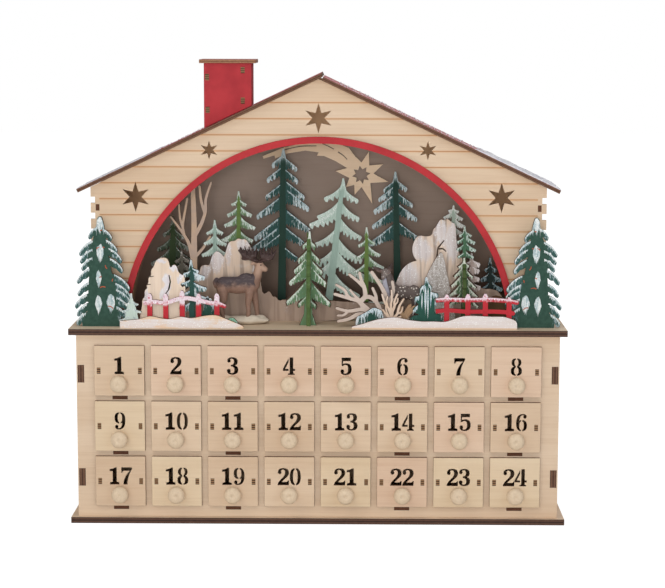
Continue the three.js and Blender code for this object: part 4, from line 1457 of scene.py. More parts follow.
class Drawers:
    """Twenty-four small drawers, each with a cut-out number and a turned knob."""

    KNOB: tuple[Point, ...] = (
        (0, 0), (3.6, 0), (3.2, 0.8), (3.1, 2.6), (3.5, 3.8), (5.2, 4.6), (6.4, 5.6), (6.8, 6.8),
        (6.6, 8.2), (5.9, 9.4), (4.7, 10.3), (3.2, 10.8), (1.3, 11), (1.1, 10.75), (0, 10.7))
    TONES: tuple[tuple[Colour, Colour], ...] = (
        (srgb(228, 205, 178), srgb(207, 177, 145)), (srgb(229, 202, 177), srgb(209, 175, 146)),
        (srgb(231, 210, 180), srgb(211, 184, 149)), (srgb(222, 197, 169), srgb(202, 171, 140)))

    def __init__(self, sizes: DrawerSizes = DrawerSizes()) -> None:
        """Builds all the drawers.

        Args:
            sizes: Their measures.
        """
        self.sizes = sizes
        self.front_woods = [
            Plywood(sizes.front, light=light, dark=dark).make(f"drawer_front_wood_{index}")
            for index, (light, dark) in enumerate(self.TONES)]
        self.rng = random.Random(24)
        self.tab_wood = EndGrain().make("tab_end_grain")
        self.knob_wood = TurnedWood().make("knob_wood")
        self.tray_wood = Plywood(0, Axis.Z.value, 2, Axis.Y, edge_dark=srgb(196, 164, 128),
                                 edge_light=BIRCH_LIGHT).make("tray_wood")
        for row in range(sizes.rows):
            for column in range(sizes.columns):
                self.make_drawer(row, column)

    def make_drawer(self, row: int, column: int) -> None:
        """Makes one drawer.

        Args:
            row: Its row, from the top.
            column: Its column, from the left.
        """
        sizes = self.sizes
        number = row * sizes.columns + column + 1
        middle = (column - (sizes.columns - 1) / 2) * sizes.pitch
        foot = sizes.top_foot - row * sizes.row_pitch
        node, body = f"drawer_{number:02d}", f"drawer_{number:02d}_body"
        add(f"{node}_front", self.front(f"{node}_front", str(number), middle, foot),
            [self.rng.choice(self.front_woods)], "drawer_wood", body, [node])
        add(f"{node}_tray", self.tray(f"{node}_tray", middle, foot), [self.tray_wood, self.tab_wood],
            "drawer_wood", body)
        knob = turned(f"{node}_knob", self.KNOB, middle, sizes.front, foot + sizes.knob_rise)
        add(f"{node}_knob", knob, [self.knob_wood], "drawer_wood", body)

    def front(self, name: str, number: str, middle: float, foot: float) -> bpy.types.Mesh:
        """Cuts the front with its number and its tab slots.

        Args:
            name: The mesh's name.
            number: The number to cut out.
            middle: The front's middle, across.
            foot: Its foot.

        Returns:
            The mesh.
        """
        sizes = self.sizes
        holes = [self.tab(middle, foot, side) for side in (-1, 1)]
        for index, digit in enumerate(number):
            shift = middle + (index - (len(number) - 1) / 2) * sizes.digit_pitch
            holes.extend(
                [(shift + x, foot + sizes.number_rise + z) for x, z in loop] for loop in digit_loops(digit))
        outline = rectangle(middle - sizes.half_width, middle + sizes.half_width, foot, foot + sizes.height)
        return plate(name, [outline], holes, sizes.front, PLY, Axis.Y, 0.5)

    def tab(self, middle: float, foot: float, side: int) -> Loop:
        """Gives the outline of a tray wall's tab in the front.

        Args:
            middle: The front's middle, across.
            foot: Its foot.
            side: -1 for the left tab, 1 for the right one.

        Returns:
            The outline.
        """
        sizes = self.sizes
        edges = sorted((side * sizes.tray_half, side * (sizes.tray_half - sizes.wall)))
        centre = foot + sizes.tab_middle
        return rectangle(
            middle + edges[0], middle + edges[1], centre - sizes.tab_half, centre + sizes.tab_half)

    def tray(self, name: str, middle: float, foot: float) -> bpy.types.Mesh:
        """Makes the tray: a floor, two sides with tabs, and a back.

        Args:
            name: The mesh's name.
            middle: The tray's middle, across.
            foot: Its foot.

        Returns:
            The mesh.
        """
        sizes = self.sizes
        inner = sizes.tray_half - sizes.wall
        start, end = sizes.front + PLY, sizes.tray_back
        top = foot + sizes.tray_height
        centre = foot + sizes.tab_middle
        wall = [(start, foot), (end, foot), (end, top), (start, top), (start, centre + sizes.tab_half),
                (sizes.front + 0.02, centre + sizes.tab_half), (sizes.front + 0.02, centre - sizes.tab_half),
                (start, centre - sizes.tab_half)]
        parts = [
            (plate("side", [wall], (), middle + edge, sizes.wall, Axis.X), 0)
            for edge in (-sizes.tray_half, inner)]
        floor = rectangle(middle - inner, middle + inner, start, end - sizes.wall)
        back = rectangle(middle - inner, middle + inner, foot, top)
        parts.append((plate("floor", [floor], (), foot, sizes.wall, Axis.Z), 0))
        parts.append((plate("back", [back], (), end - sizes.wall, sizes.wall, Axis.Y), 0))
        mesh = merged(name, parts)
        for face in mesh.polygons:
            if face.center[1] < (sizes.front + PLY * 0.9) * MM:
                face.material_index = 1
        return mesh


# House

@dataclass(frozen=True)
class HouseSizes:
    """The gabled house's measures in millimetres."""

    deck: float = DECK
    half_width: float = 182.0
    eave: float = 267.8
    apex: float = 353.83
    slope: float = 25.3
    front: float = -22.0
    back: float = 41.0
    arch_centre: float = 150.0
    arch_radius: float = 154.0
    band_inner: float = 153.0
    band_outer: float = 158.4
    band_rise: float = 24.0
    side_inset: float = 4.0
    tab_rises: tuple[float, float] = (30, 94)
    tab_half: float = 2.6
    top_score_drop: float = 18.6
    plank: float = 12.8
    notch_depth: float = 3.5
    notch_height: float = 5.0
    notch_up: float = 1.6
    stars: tuple[tuple[float, float, float], ...] = (
        (0, 30.8, 11.8), (-87, 15.2, 7.5), (87, 15.2, 7.5), (-146, 24.8, 12), (146, 24.8, 12))
    roof_front: float = -27.5
    roof_back: float = 45.0
    roof_lift: float = 0.33


class House:
    """The gabled front with its arch, the back, the sides, the roof and its snow."""

    def __init__(self, sizes: HouseSizes = HouseSizes()) -> None:
        """Builds the house.

        Args:
            sizes: Its measures.
        """
        self.sizes = sizes
        self.tangent = math.tan(math.radians(sizes.slope))
        self.make_front()
        self.make_band()
        self.make_walls()
        self.make_roof()

    def edge(self, side: int) -> Loop:
        """Gives the front's notched side edge, going up.

        Args:
            side: -1 for the left edge, 1 for the right one.

        Returns:
            The points.
        """
        sizes = self.sizes
        points = [(side * sizes.half_width, sizes.deck)]
        first_score = sizes.apex - sizes.top_score_drop
        for plank in range(20, -1, -1):
            top = first_score - plank * sizes.plank + sizes.notch_up
            bottom = top - sizes.notch_height
            if bottom <= sizes.deck or top >= sizes.eave:
                continue
            deep = side * (sizes.half_width - sizes.notch_depth)
            outer = side * sizes.half_width
            points += [(outer, bottom), (deep, bottom), (deep, top), (outer, top)]
        return [*points, (side * sizes.half_width, sizes.eave)]

    def slots(self) -> list[Loop]:
        """Gives the slots for the side walls' tabs.

        Returns:
            The outlines.
        """
        sizes = self.sizes
        outer = sizes.half_width - sizes.side_inset
        return [
            rectangle(*sorted((side * outer, side * (outer - PLY))),
                      sizes.deck + rise - sizes.tab_half, sizes.deck + rise + sizes.tab_half)
            for side in (-1, 1) for rise in sizes.tab_rises]

    def make_front(self) -> None:
        """Cuts the front: a gable with score lines, stars and the arch."""
        sizes = self.sizes
        outline = [*self.edge(1), (0, sizes.apex), *reversed(self.edge(-1))]
        arch = arc((0, sizes.arch_centre), sizes.arch_radius, -2, 182, 160)
        stars = [
            star((x, sizes.apex - abs(x) * self.tangent - drop), tip) for x, drop, tip in sizes.stars]
        mesh = plate("house_front_planks", [outline], [arch, *stars, *self.slots()], sizes.front)
        finish = ScoredFront(sizes.front, top_score=sizes.apex - sizes.top_score_drop, pitch=sizes.plank,
                             half_width=sizes.half_width)
        add("house_front_planks", mesh, [finish.make("scored_planks")], "birch_plywood",
            stands_for=["house_front"])

    def make_band(self) -> None:
        """Cuts the red band round the arch."""
        sizes = self.sizes
        height = sizes.band_rise + sizes.deck - sizes.arch_centre
        outer = math.degrees(math.asin(height / sizes.band_outer))
        inner = math.degrees(math.asin(height / sizes.band_inner))
        centre = (0, sizes.arch_centre)
        loop = [*arc(centre, sizes.band_outer, outer, 180 - outer, 140),
                *arc(centre, sizes.band_inner, 180 - inner, inner, 140)]
        mesh = plate("arch_band_paint", [loop], (), sizes.front - PLY)
        finish = Painted(sizes.front - PLY, paint=srgb(190, 38, 46), worn=srgb(160, 28, 38),
                         edge_dark=srgb(84, 26, 26), edge_light=srgb(120, 46, 40))
        add("arch_band_paint", mesh, [finish.make("band_paint")], "red_paint", stands_for=["arch_band"])

    def make_walls(self) -> None:
        """Makes the back, taupe inside, and the two side walls."""
        stand_in("house_back", "ply", Backdrop(self.sizes.back), "backdrop_paint")
        outer = self.sizes.half_width - self.sizes.side_inset
        for side, start in (("left", -outer), ("right", outer - PLY)):
            finish = Plywood(start, Axis.X.value, PLY, Axis.Y)
            stand_in(f"house_side_{side}", "ply", finish, "birch_plywood", 0)

    def make_roof(self) -> None:
        """Makes the two roof boards and the snow on them, which is thin on the left one."""
        angle = math.radians(self.sizes.slope)
        for side, way, snow in (("left", -1, SnowSizes(thickness=0.7, grains_from=100)),
                                ("right", 1, SnowSizes())):
            normal = (way * math.sin(angle), 0, math.cos(angle))
            start = normal[2] * (self.sizes.apex + self.sizes.roof_lift)
            finish = RoofPaint(start, normal, PLY, Axis.Y, 2, edge_light=srgb(132, 96, 74))
            stand_in(f"roof_{side}", "board", finish, "roof_paint", 0.3)
            SnowPad(side, way, self.sizes, snow)


@dataclass(frozen=True)
class Backdrop(Plywood):
    """The house back: taupe paint inside, darker towards the deck, with painted light outside the arch where
    the front shades it, and plain wood behind.
    """

    def face(self, box: Paintbox) -> Surface:
        """Paints the two sides.

        Args:
            box: The material.

        Returns:
            The painted face.
        """
        behind = wood(box, Axis.X, self.light, self.dark)
        inside = box.along(box.normal, Axis.Y.value).ramp(0.1, -0.1)
        clouds = box.noise((0.01, 0.01, 0.014), 3, 0.55)
        streaks = box.noise((0.02, 0.02, 0.4), 2, 0.5)
        tone = (clouds * 0.6 + box.z.ramp(250, 160) * 0.55).ramp(0.2, 0.95)
        paint = box.mix(tone, srgb(164, 146, 134), srgb(104, 84, 72))
        paint = box.mix(streaks.ramp(0.5, 0.8) * 0.18, paint, srgb(124, 106, 96))
        # Painted light: behind the front, outside the arch, the back is painted a lighter brown as if lit,
        # though the front shades it there.
        rise = box.z - 150
        painted_light_beyond_arch = (box.x * box.x + rise * rise).math("SQRT").ramp(155, 160)
        paint = box.mix(painted_light_beyond_arch, paint, srgb(226, 186, 146))
        return Surface(box.mix(inside, behind.colour, paint), 0.85, streaks)


@dataclass(frozen=True)
class SnowSizes:
    """The snow on a roof board, in millimetres."""

    reach: float = 66.0
    ragged: float = 15.0
    grains_from: float = 16.0
    thickness: float = 1.7
    along: int = 84
    across: int = 92


class SnowPad:
    """Glitter snow along one eave: a low lumpy pad with a ragged inner edge, and loose grains."""

    def __init__(self, side: str, way: int, house: HouseSizes, sizes: SnowSizes = SnowSizes()) -> None:
        """Builds the snow on one roof board.

        Args:
            side: The board's side, left or right.
            way: -1 for the left board, 1 for the right one.
            house: The house's measures.
            sizes: The snow's measures.
        """
        self.way, self.house, self.sizes = way, house, sizes
        angle = math.radians(house.slope)
        self.down = Vector((way * math.cos(angle), 0, -math.sin(angle)))
        self.up = Vector((way * math.sin(angle), 0, math.cos(angle)))
        self.length = (house.half_width + 9.5) / math.cos(angle)
        self.origin = Vector((0, 0, house.apex + house.roof_lift)) + self.up * PLY
        self.snow = GlitterSnow().make(f"snow_{side}")
        mesh = merged(f"roof_snow_{side}", [(self.pad(), 0), (self.grains(side), 0)])
        add(f"roof_snow_{side}", smoothed(mesh), [self.snow], "snow_paint")

    def point(self, along: float, y: float, above: float) -> Vector:
        """Gives a place on the board: down the slope, back, and above its top."""
        return (self.origin + self.down * along + Vector((0, y, 0)) + self.up * above) * MM

    def inner_edge(self, y: float) -> float:
        """Gives how far down the slope the snow starts at a depth.

        Args:
            y: The depth.

        Returns:
            The distance from the ridge.
        """
        wander = noise.fractal(Vector((y * 0.06, self.way * 7.3, 0)), 0.9, 2.1, 4)
        fine = noise.noise(Vector((y * 0.42, self.way * 3.1, 5)))
        return self.length - self.sizes.reach + wander * self.sizes.ragged + fine * 2.6

    def height(self, along: float, y: float, inward: float) -> float:
        """Gives the snow's thickness at a place.

        Args:
            along: How far down the slope.
            y: How far back.
            inward: How far from the snow's nearest edge.

        Returns:
            The thickness.
        """
        sizes = self.sizes
        lumps = noise.fractal(Vector((along * 0.12, y * 0.12, self.way * 2)), 0.8, 2.1, 3)
        grain = noise.noise(Vector((along * 0.9, y * 0.9, self.way * 4)))
        rise = 1 - (1 - min(1, inward / 5)) ** 2
        return max(0.12, (sizes.thickness * (0.75 + 0.4 * lumps) + grain * 0.28) * rise)

    def pad(self) -> bpy.types.Mesh:
        """Makes the pad as a closed skin over the board.

        Returns:
            The mesh.
        """
        sizes, house = self.sizes, self.house
        front, back = house.roof_front + 0.4, house.roof_back - 0.4
        bm = bmesh.new()
        tops, feet = [], []
        for row in range(sizes.along + 1):
            y = front + (back - front) * row / sizes.along
            start, end = self.inner_edge(y), self.length - 0.3
            tops.append([])
            feet.append([])
            for column in range(sizes.across + 1):
                along = start + (end - start) * column / sizes.across
                inward = min(along - start, end - along + 1.4, y - front + 1.2, back - y + 1.2)
                tops[-1].append(bm.verts.new(self.point(along, y, self.height(along, y, inward))))
                feet[-1].append(bm.verts.new(self.point(along, y, -0.05)))
        rows, columns = sizes.along, sizes.across
        for row in range(rows):
            for column in range(columns):
                after, beside = row + 1, column + 1
                bm.faces.new([tops[row][column], tops[row][beside], tops[after][beside], tops[after][column]])
                bm.faces.new([feet[row][column], feet[after][column], feet[after][beside], feet[row][beside]])
        ring = [(0, column) for column in range(columns + 1)]
        ring += [(row, columns) for row in range(1, rows + 1)]
        ring += [(rows, column) for column in range(columns - 1, -1, -1)]
        ring += [(row, 0) for row in range(rows - 1, 0, -1)]
        for (a, b), (c, d) in zip(ring, (*ring[1:], ring[0])):
            bm.faces.new([tops[a][b], feet[a][b], feet[c][d], tops[c][d]])
        bmesh.ops.recalc_face_normals(bm, faces=bm.faces)
        return mesh_from(bm, "snow_pad")

    def grains(self, side: str) -> bpy.types.Mesh:
        """Strews grains of snow over the pad and thinly up the board.

        Args:
            side: The board's side.

        Returns:
            The mesh.
        """
        field = rectangle(self.sizes.grains_from, self.length - 3, self.house.roof_front + 2,
                          self.house.roof_back - 2)
        mesh = bpy.data.meshes.new("snow_ground")
        mesh.from_pydata([tuple(self.point(along, y, 0.35)) for along, y in field], [], [(0, 1, 2, 3)])
        settings = {"Count density": 42000.0, "Seed": 11 + self.way, "Snow": self.snow}
        return evaluated(f"grains_{side}", carrier_of(mesh), grain_tree(), settings)


def grain_tree() -> bpy.types.NodeTree:
    """Builds the geometry tree that strews small grains over a face.

    Returns:
        The tree.
    """
    tree = bpy.data.node_groups.new("snow_grains", "GeometryNodeTree")
    for name, way, kind in (
            ("Geometry", "INPUT", "Geometry"), ("Count density", "INPUT", "Float"), ("Seed", "INPUT", "Int"),
            ("Snow", "INPUT", "Material"), ("Geometry", "OUTPUT", "Geometry")):
        tree.interface.new_socket(name, in_out=way, socket_type=f"NodeSocket{kind}")
    sheet = Sheet(tree)
    entry = sheet.node("NodeGroupInput")
    points = sheet.node("GeometryNodeDistributePointsOnFaces", {"distribute_method": "RANDOM"}, {
        "Mesh": entry.outputs["Geometry"], "Density": entry.outputs["Count density"],
        "Seed": entry.outputs["Seed"]})
    grain = sheet.node("GeometryNodeMeshIcoSphere", {}, {"Radius": 0.42 * MM, "Subdivisions": 1})
    size = sheet.node("FunctionNodeRandomValue", {"data_type": "FLOAT"}, {
        2: 0.35, 3: 1.25, "Seed": entry.outputs["Seed"]})
    strewn = sheet.node("GeometryNodeInstanceOnPoints", {}, {
        "Points": points.outputs["Points"], "Instance": grain.outputs["Mesh"], "Scale": size.outputs[1]})
    solid = sheet.node("GeometryNodeRealizeInstances", {}, {"Geometry": strewn.outputs["Instances"]})
    coated = sheet.node("GeometryNodeSetMaterial", {}, {
        "Geometry": solid.outputs["Geometry"], "Material": entry.outputs["Snow"]})
    sheet.node("NodeGroupOutput", {}, {"Geometry": coated.outputs["Geometry"]})
    return tree


@dataclass(frozen=True)
class ChimneySizes:
    """The chimney's measures in millimetres."""

    left: float = -91.5
    right: float = -53.5
    front: float = -13.5
    top: float = 366.03
    cap: float = 3.0


class Chimney:
    """A red stack with the tabs of its walls showing, and a flat cap."""

    def __init__(self, sizes: ChimneySizes = ChimneySizes()) -> None:
        """Builds the stack, its tab marks and the cap.

        Args:
            sizes: Its measures.
        """
        self.sizes = sizes
        stack = Painted(sizes.front, grain=Axis.Z, paint=srgb(186, 40, 50), worn=srgb(150, 26, 38),
                        edge_dark=srgb(150, 30, 38), edge_light=srgb(170, 38, 46))
        add("chimney_walls", copy_of("chimney_stack", "chimney_walls", 0.3), [stack.make("chimney_paint")],
            "roof_paint", stands_for=["chimney_stack"])
        cap = Painted(sizes.top, Axis.Z.value, sizes.cap, paint=srgb(196, 120, 122), worn=srgb(222, 176, 176),
                      layers=2, edge_light=srgb(176, 130, 98), edge_dark=srgb(104, 68, 50))
        stand_in("chimney_cap", "board", cap, "roof_paint", 0.3)
        marks = merged("chimney_tabs", [(self.mark(*place), 0) for place in self.places()])
        add("chimney_tabs", marks, [EndGrain().make("chimney_tab_ends")], "roof_paint")

    def places(self) -> Iterable[tuple[float, float]]:
        """Gives the tab marks' centres on the front face, across and up."""
        return ((self.sizes.left + 2.6, 355), (self.sizes.left + 2.9, 329),
                (self.sizes.right - 7, 360.6), (self.sizes.right - 7, 336.4))

    def mark(self, x: float, z: float) -> bpy.types.Mesh:
        """Makes one tab end, standing a hair out of the wall."""
        outline = rectangle(x - 1.6, x + 1.6, z - 2.5, z + 2.5)
        return plate("tab", [outline], (), self.sizes.front - 0.12, 0.3)


# Forest

@dataclass(frozen=True)
class FirForm:
    """A fir's outline: a trunk and one drooping branch for each tip, in millimetres.

    Attributes:
        foot: The middle of the trunk's foot, across and up.
        top: The tree's top.
        foot_half: Half the trunk's width at its foot.
        left: The left branches' tips, from the top down.
        right: The right branches' tips, from the top down.
        neck_half: Half the trunk's width below the crown.
        crown: The crown's height.
        rise: How far above its tip a branch leaves the trunk, as a share of its reach.
        depth: How deep a branch hangs at the trunk, as a share of its reach.
        tooth: How far the needles hang below a branch.
        blunt: The depth of a branch at its tip.
        seed: The seed for the needles.
        sag: How straight a branch's top edge is: 0.3 sags, 0.66 is straight.
        flare: The height of the foot's flare, or 0 for none.
    """

    foot: Point
    top: Point
    foot_half: float
    left: tuple[Point, ...]
    right: tuple[Point, ...]
    neck_half: float = 1.8
    crown: float = 14.0
    rise: float = 0.9
    depth: float = 0.6
    tooth: float = 2.4
    blunt: float = 3.2
    seed: int = 1
    sag: float = 0.3
    flare: float = 0.0

    def axis(self, z: float) -> float:
        """Gives the trunk's middle at a height."""
        share = (z - self.foot[1]) / (self.top[1] - self.foot[1])
        return self.foot[0] + (self.top[0] - self.foot[0]) * share

    def loops(self, inset: float = 0.0) -> list[Loop]:
        """Gives the outlines that make up the fir.

        Args:
            inset: How far the outlines are drawn in, in millimetres.

        Returns:
            The trunk, the crown and the branches.
        """
        rng = random.Random(self.seed)
        neck = self.top[1] - self.crown
        middle = self.axis(neck)
        half, narrow = self.foot_half - inset * 0.6, self.neck_half - inset * 0.3
        trunk = [(self.foot[0] - half, self.foot[1]), (self.foot[0] + half, self.foot[1]),
                 (middle + narrow, neck), (middle - narrow, neck)]
        if self.flare:
            waist = self.foot[1] + self.flare
            trunk[2:2] = [(self.axis(waist) + half * 0.5, waist)]
            trunk.append((self.axis(waist) - half * 0.5, waist))
        wide = self.crown * 0.24 - inset
        x, z = self.top[0], self.top[1] - inset
        shoulder, slim = self.crown * 0.34, wide * 0.42
        crown = [(middle - wide, neck), (middle, neck - self.crown * 0.18), (middle + wide, neck),
                 (x + slim, z - shoulder), (x + 0.6, z - 0.5), (x - 0.6, z - 0.5), (x - slim, z - shoulder)]
        return [trunk, crown, *(self.branch(tip, inset, rng) for tip in self.tips())]

    def tips(self) -> Loop:
        """Gives every branch's tip, the left ones first."""
        return [*self.left, *self.right]

    def spread(self, tip: Point) -> Point:
        """Gives a tip's side of the trunk, -1 or 1, and its reach from the trunk."""
        off = tip[0] - self.axis(tip[1])
        return 1 if off > 0 else -1, abs(off)

    def reach(self) -> float:
        """Gives how far the widest branch reaches from the trunk."""
        return max(self.spread(tip)[1] for tip in self.tips())

    def over(self, tip: Point, inset: float) -> Loop:
        """Gives a branch's top edge, from the trunk to the tip.

        Args:
            tip: The branch's tip.
            inset: How far the edge is drawn in.

        Returns:
            The points.
        """
        way, reach = self.spread(tip)
        reach -= inset
        end = (tip[0] - way * inset, tip[1] - inset * 0.2)
        lift = reach * self.rise
        root = (self.axis(tip[1] + lift), min(end[1] + lift, self.top[1] - 3) - inset)
        pull = (root[0] + way * reach * 0.34, end[1] + (root[1] - end[1]) * self.sag - inset * 0.4)
        return [root, *bow(root, pull, end, 9)]

    def branch(self, tip: Point, inset: float, rng: random.Random) -> Loop:
        """Gives one branch: a smooth hanging top edge and blunt needles below it.

        Args:
            tip: The branch's tip.
            inset: How far the outline is drawn in.
            rng: The source of the needles.

        Returns:
            The outline.
        """
        over = self.over(tip, inset)
        way, reach = self.spread(tip)
        end = over[-1]
        nose = (end[0] + way * 0.6, end[1] - (self.blunt - inset) * 0.45)
        count = max(2, round(reach / max(1.7, self.tooth * 0.95)))
        under = []
        for index in range(count):
            tooth = self.tooth * rng.uniform(0.45, 1.2)
            slant = rng.uniform(0.5, 1)
            shift = rng.uniform(-0.1, 0.1)
            for offset, low in ((0, 0.25), (0.14, slant), (0.58 + shift, 1), (0.82 + shift, 0)):
                share = (index + offset) / count
                x, z = between(over, 1 - share)
                hang = self.blunt + (max(reach * self.depth, self.blunt) - self.blunt) * share - inset
                under.append((x, z - max(hang + low * tooth - tooth * 0.5, 0.5)))
        return [*over, nose, *under, (self.axis(under[-1][1]), under[-1][1] + 0.4)]

    def frost(self, strength: float) -> list[Loop]:
        """Gives the frost that hangs in strokes from each branch's top edge, and the snowy top.

        Args:
            strength: How long the strokes are.

        Returns:
            The patches.
        """
        rng = random.Random(self.seed + 100)
        patches = []
        for tip in self.tips():
            _, reach = self.spread(tip)
            edge = self.over(tip, 0.2)[2:]
            patches.append(icing(edge, reach * 0.16 * strength, (1.6 + reach * 0.06) * strength, rng))
        top, fall = self.top, self.crown * 0.62
        peak = [(top[0] - self.crown * 0.16, top[1] - fall), (top[0], top[1] - 0.9),
                (top[0] + self.crown * 0.16, top[1] - fall)]
        return [*patches, icing(peak, 2.4 * strength, 2.4 * strength, rng)]


@dataclass(frozen=True)
class FirPaint:
    """The colours of one kind of fir.

    Attributes:
        trunk: The trunk's colour.
        branch: The branches' colour.
        frost_colour: The frost's light colour.
        frost: How much of the branches is white.
        icing: How long the strokes of frost are.
        tint: The frost's darker colour.
    """

    trunk: Colour
    branch: Colour
    frost_colour: Colour
    frost: float
    icing: float = 1.0
    tint: Colour = srgb(132, 158, 164)

    def frosting(self, plane: float) -> Frost:
        """Gives the finish of the frost that lies on a plate."""
        return Frost(plane, light=self.frost_colour, dark=self.tint, edge_light=self.frost_colour,
                     edge_dark=self.tint)

    def finish(self, plane: float, **more: object) -> FrostedFir:
        """Gives the finish of a fir's plate."""
        return FrostedFir(plane, trunk=self.trunk, branch=self.branch, frost_colour=self.frost_colour,
                          frost=self.frost, **more)


DARK_PAINT = FirPaint(srgb(26, 60, 49), srgb(42, 82, 80), srgb(206, 222, 226), -0.1, 0.5, srgb(104, 136, 144))
MINT_PAINT = FirPaint(MINT_TRUNK, MINT, srgb(212, 228, 220), 0, 1.5, srgb(192, 212, 202))
PALE_MINT_PAINT = FirPaint(srgb(204, 222, 212), srgb(204, 222, 212), srgb(232, 240, 236), 0.4)
GREEN_PAINT = FirPaint(srgb(102, 128, 62), srgb(104, 134, 104), srgb(218, 230, 222), 0.1, 1.5,
                       srgb(156, 182, 162))
GREY_PAINT = FirPaint(srgb(184, 204, 190), srgb(186, 204, 192), srgb(240, 242, 240), 0.4, 1,
                      srgb(206, 216, 208))
BLUE_PAINT = FirPaint(srgb(34, 74, 66), srgb(44, 90, 88), srgb(222, 232, 236), 0.45, 1.1, srgb(130, 164, 176))
LEAFY_PAINT = FirPaint(srgb(72, 110, 82), srgb(66, 104, 80), srgb(204, 220, 212), 0.3, 1, srgb(138, 168, 150))
NIGHT_PAINT = FirPaint(srgb(24, 44, 42), srgb(28, 52, 52), srgb(160, 186, 196), 0.35, 0.9, srgb(84, 114, 120))
DUSK_PAINT = FirPaint(srgb(56, 76, 42), srgb(66, 84, 66), srgb(158, 164, 156), 0.1, 0.7, srgb(110, 124, 112))
ROSY_PAINT = FirPaint(srgb(182, 164, 156), srgb(190, 176, 168), srgb(232, 224, 224), 0.3, 1,
                      srgb(206, 194, 190))
DIM_PAINT = FirPaint(srgb(108, 104, 92), srgb(116, 112, 100), srgb(150, 146, 138), 0.2, 0.8,
                     srgb(130, 126, 116))
CENTRE_PAINT = FirPaint(srgb(96, 124, 70), srgb(94, 130, 100), srgb(222, 232, 222), 0.1, 1.7,
                        srgb(160, 184, 162))
CROSSED_PAINT = FirPaint(srgb(86, 108, 60), srgb(58, 90, 64), srgb(222, 228, 214), 0.25, 1.5,
                         srgb(168, 184, 164))
FENCE_SNOW = FirPaint(RED, RED, srgb(246, 236, 242), 0, 1, srgb(226, 178, 196))


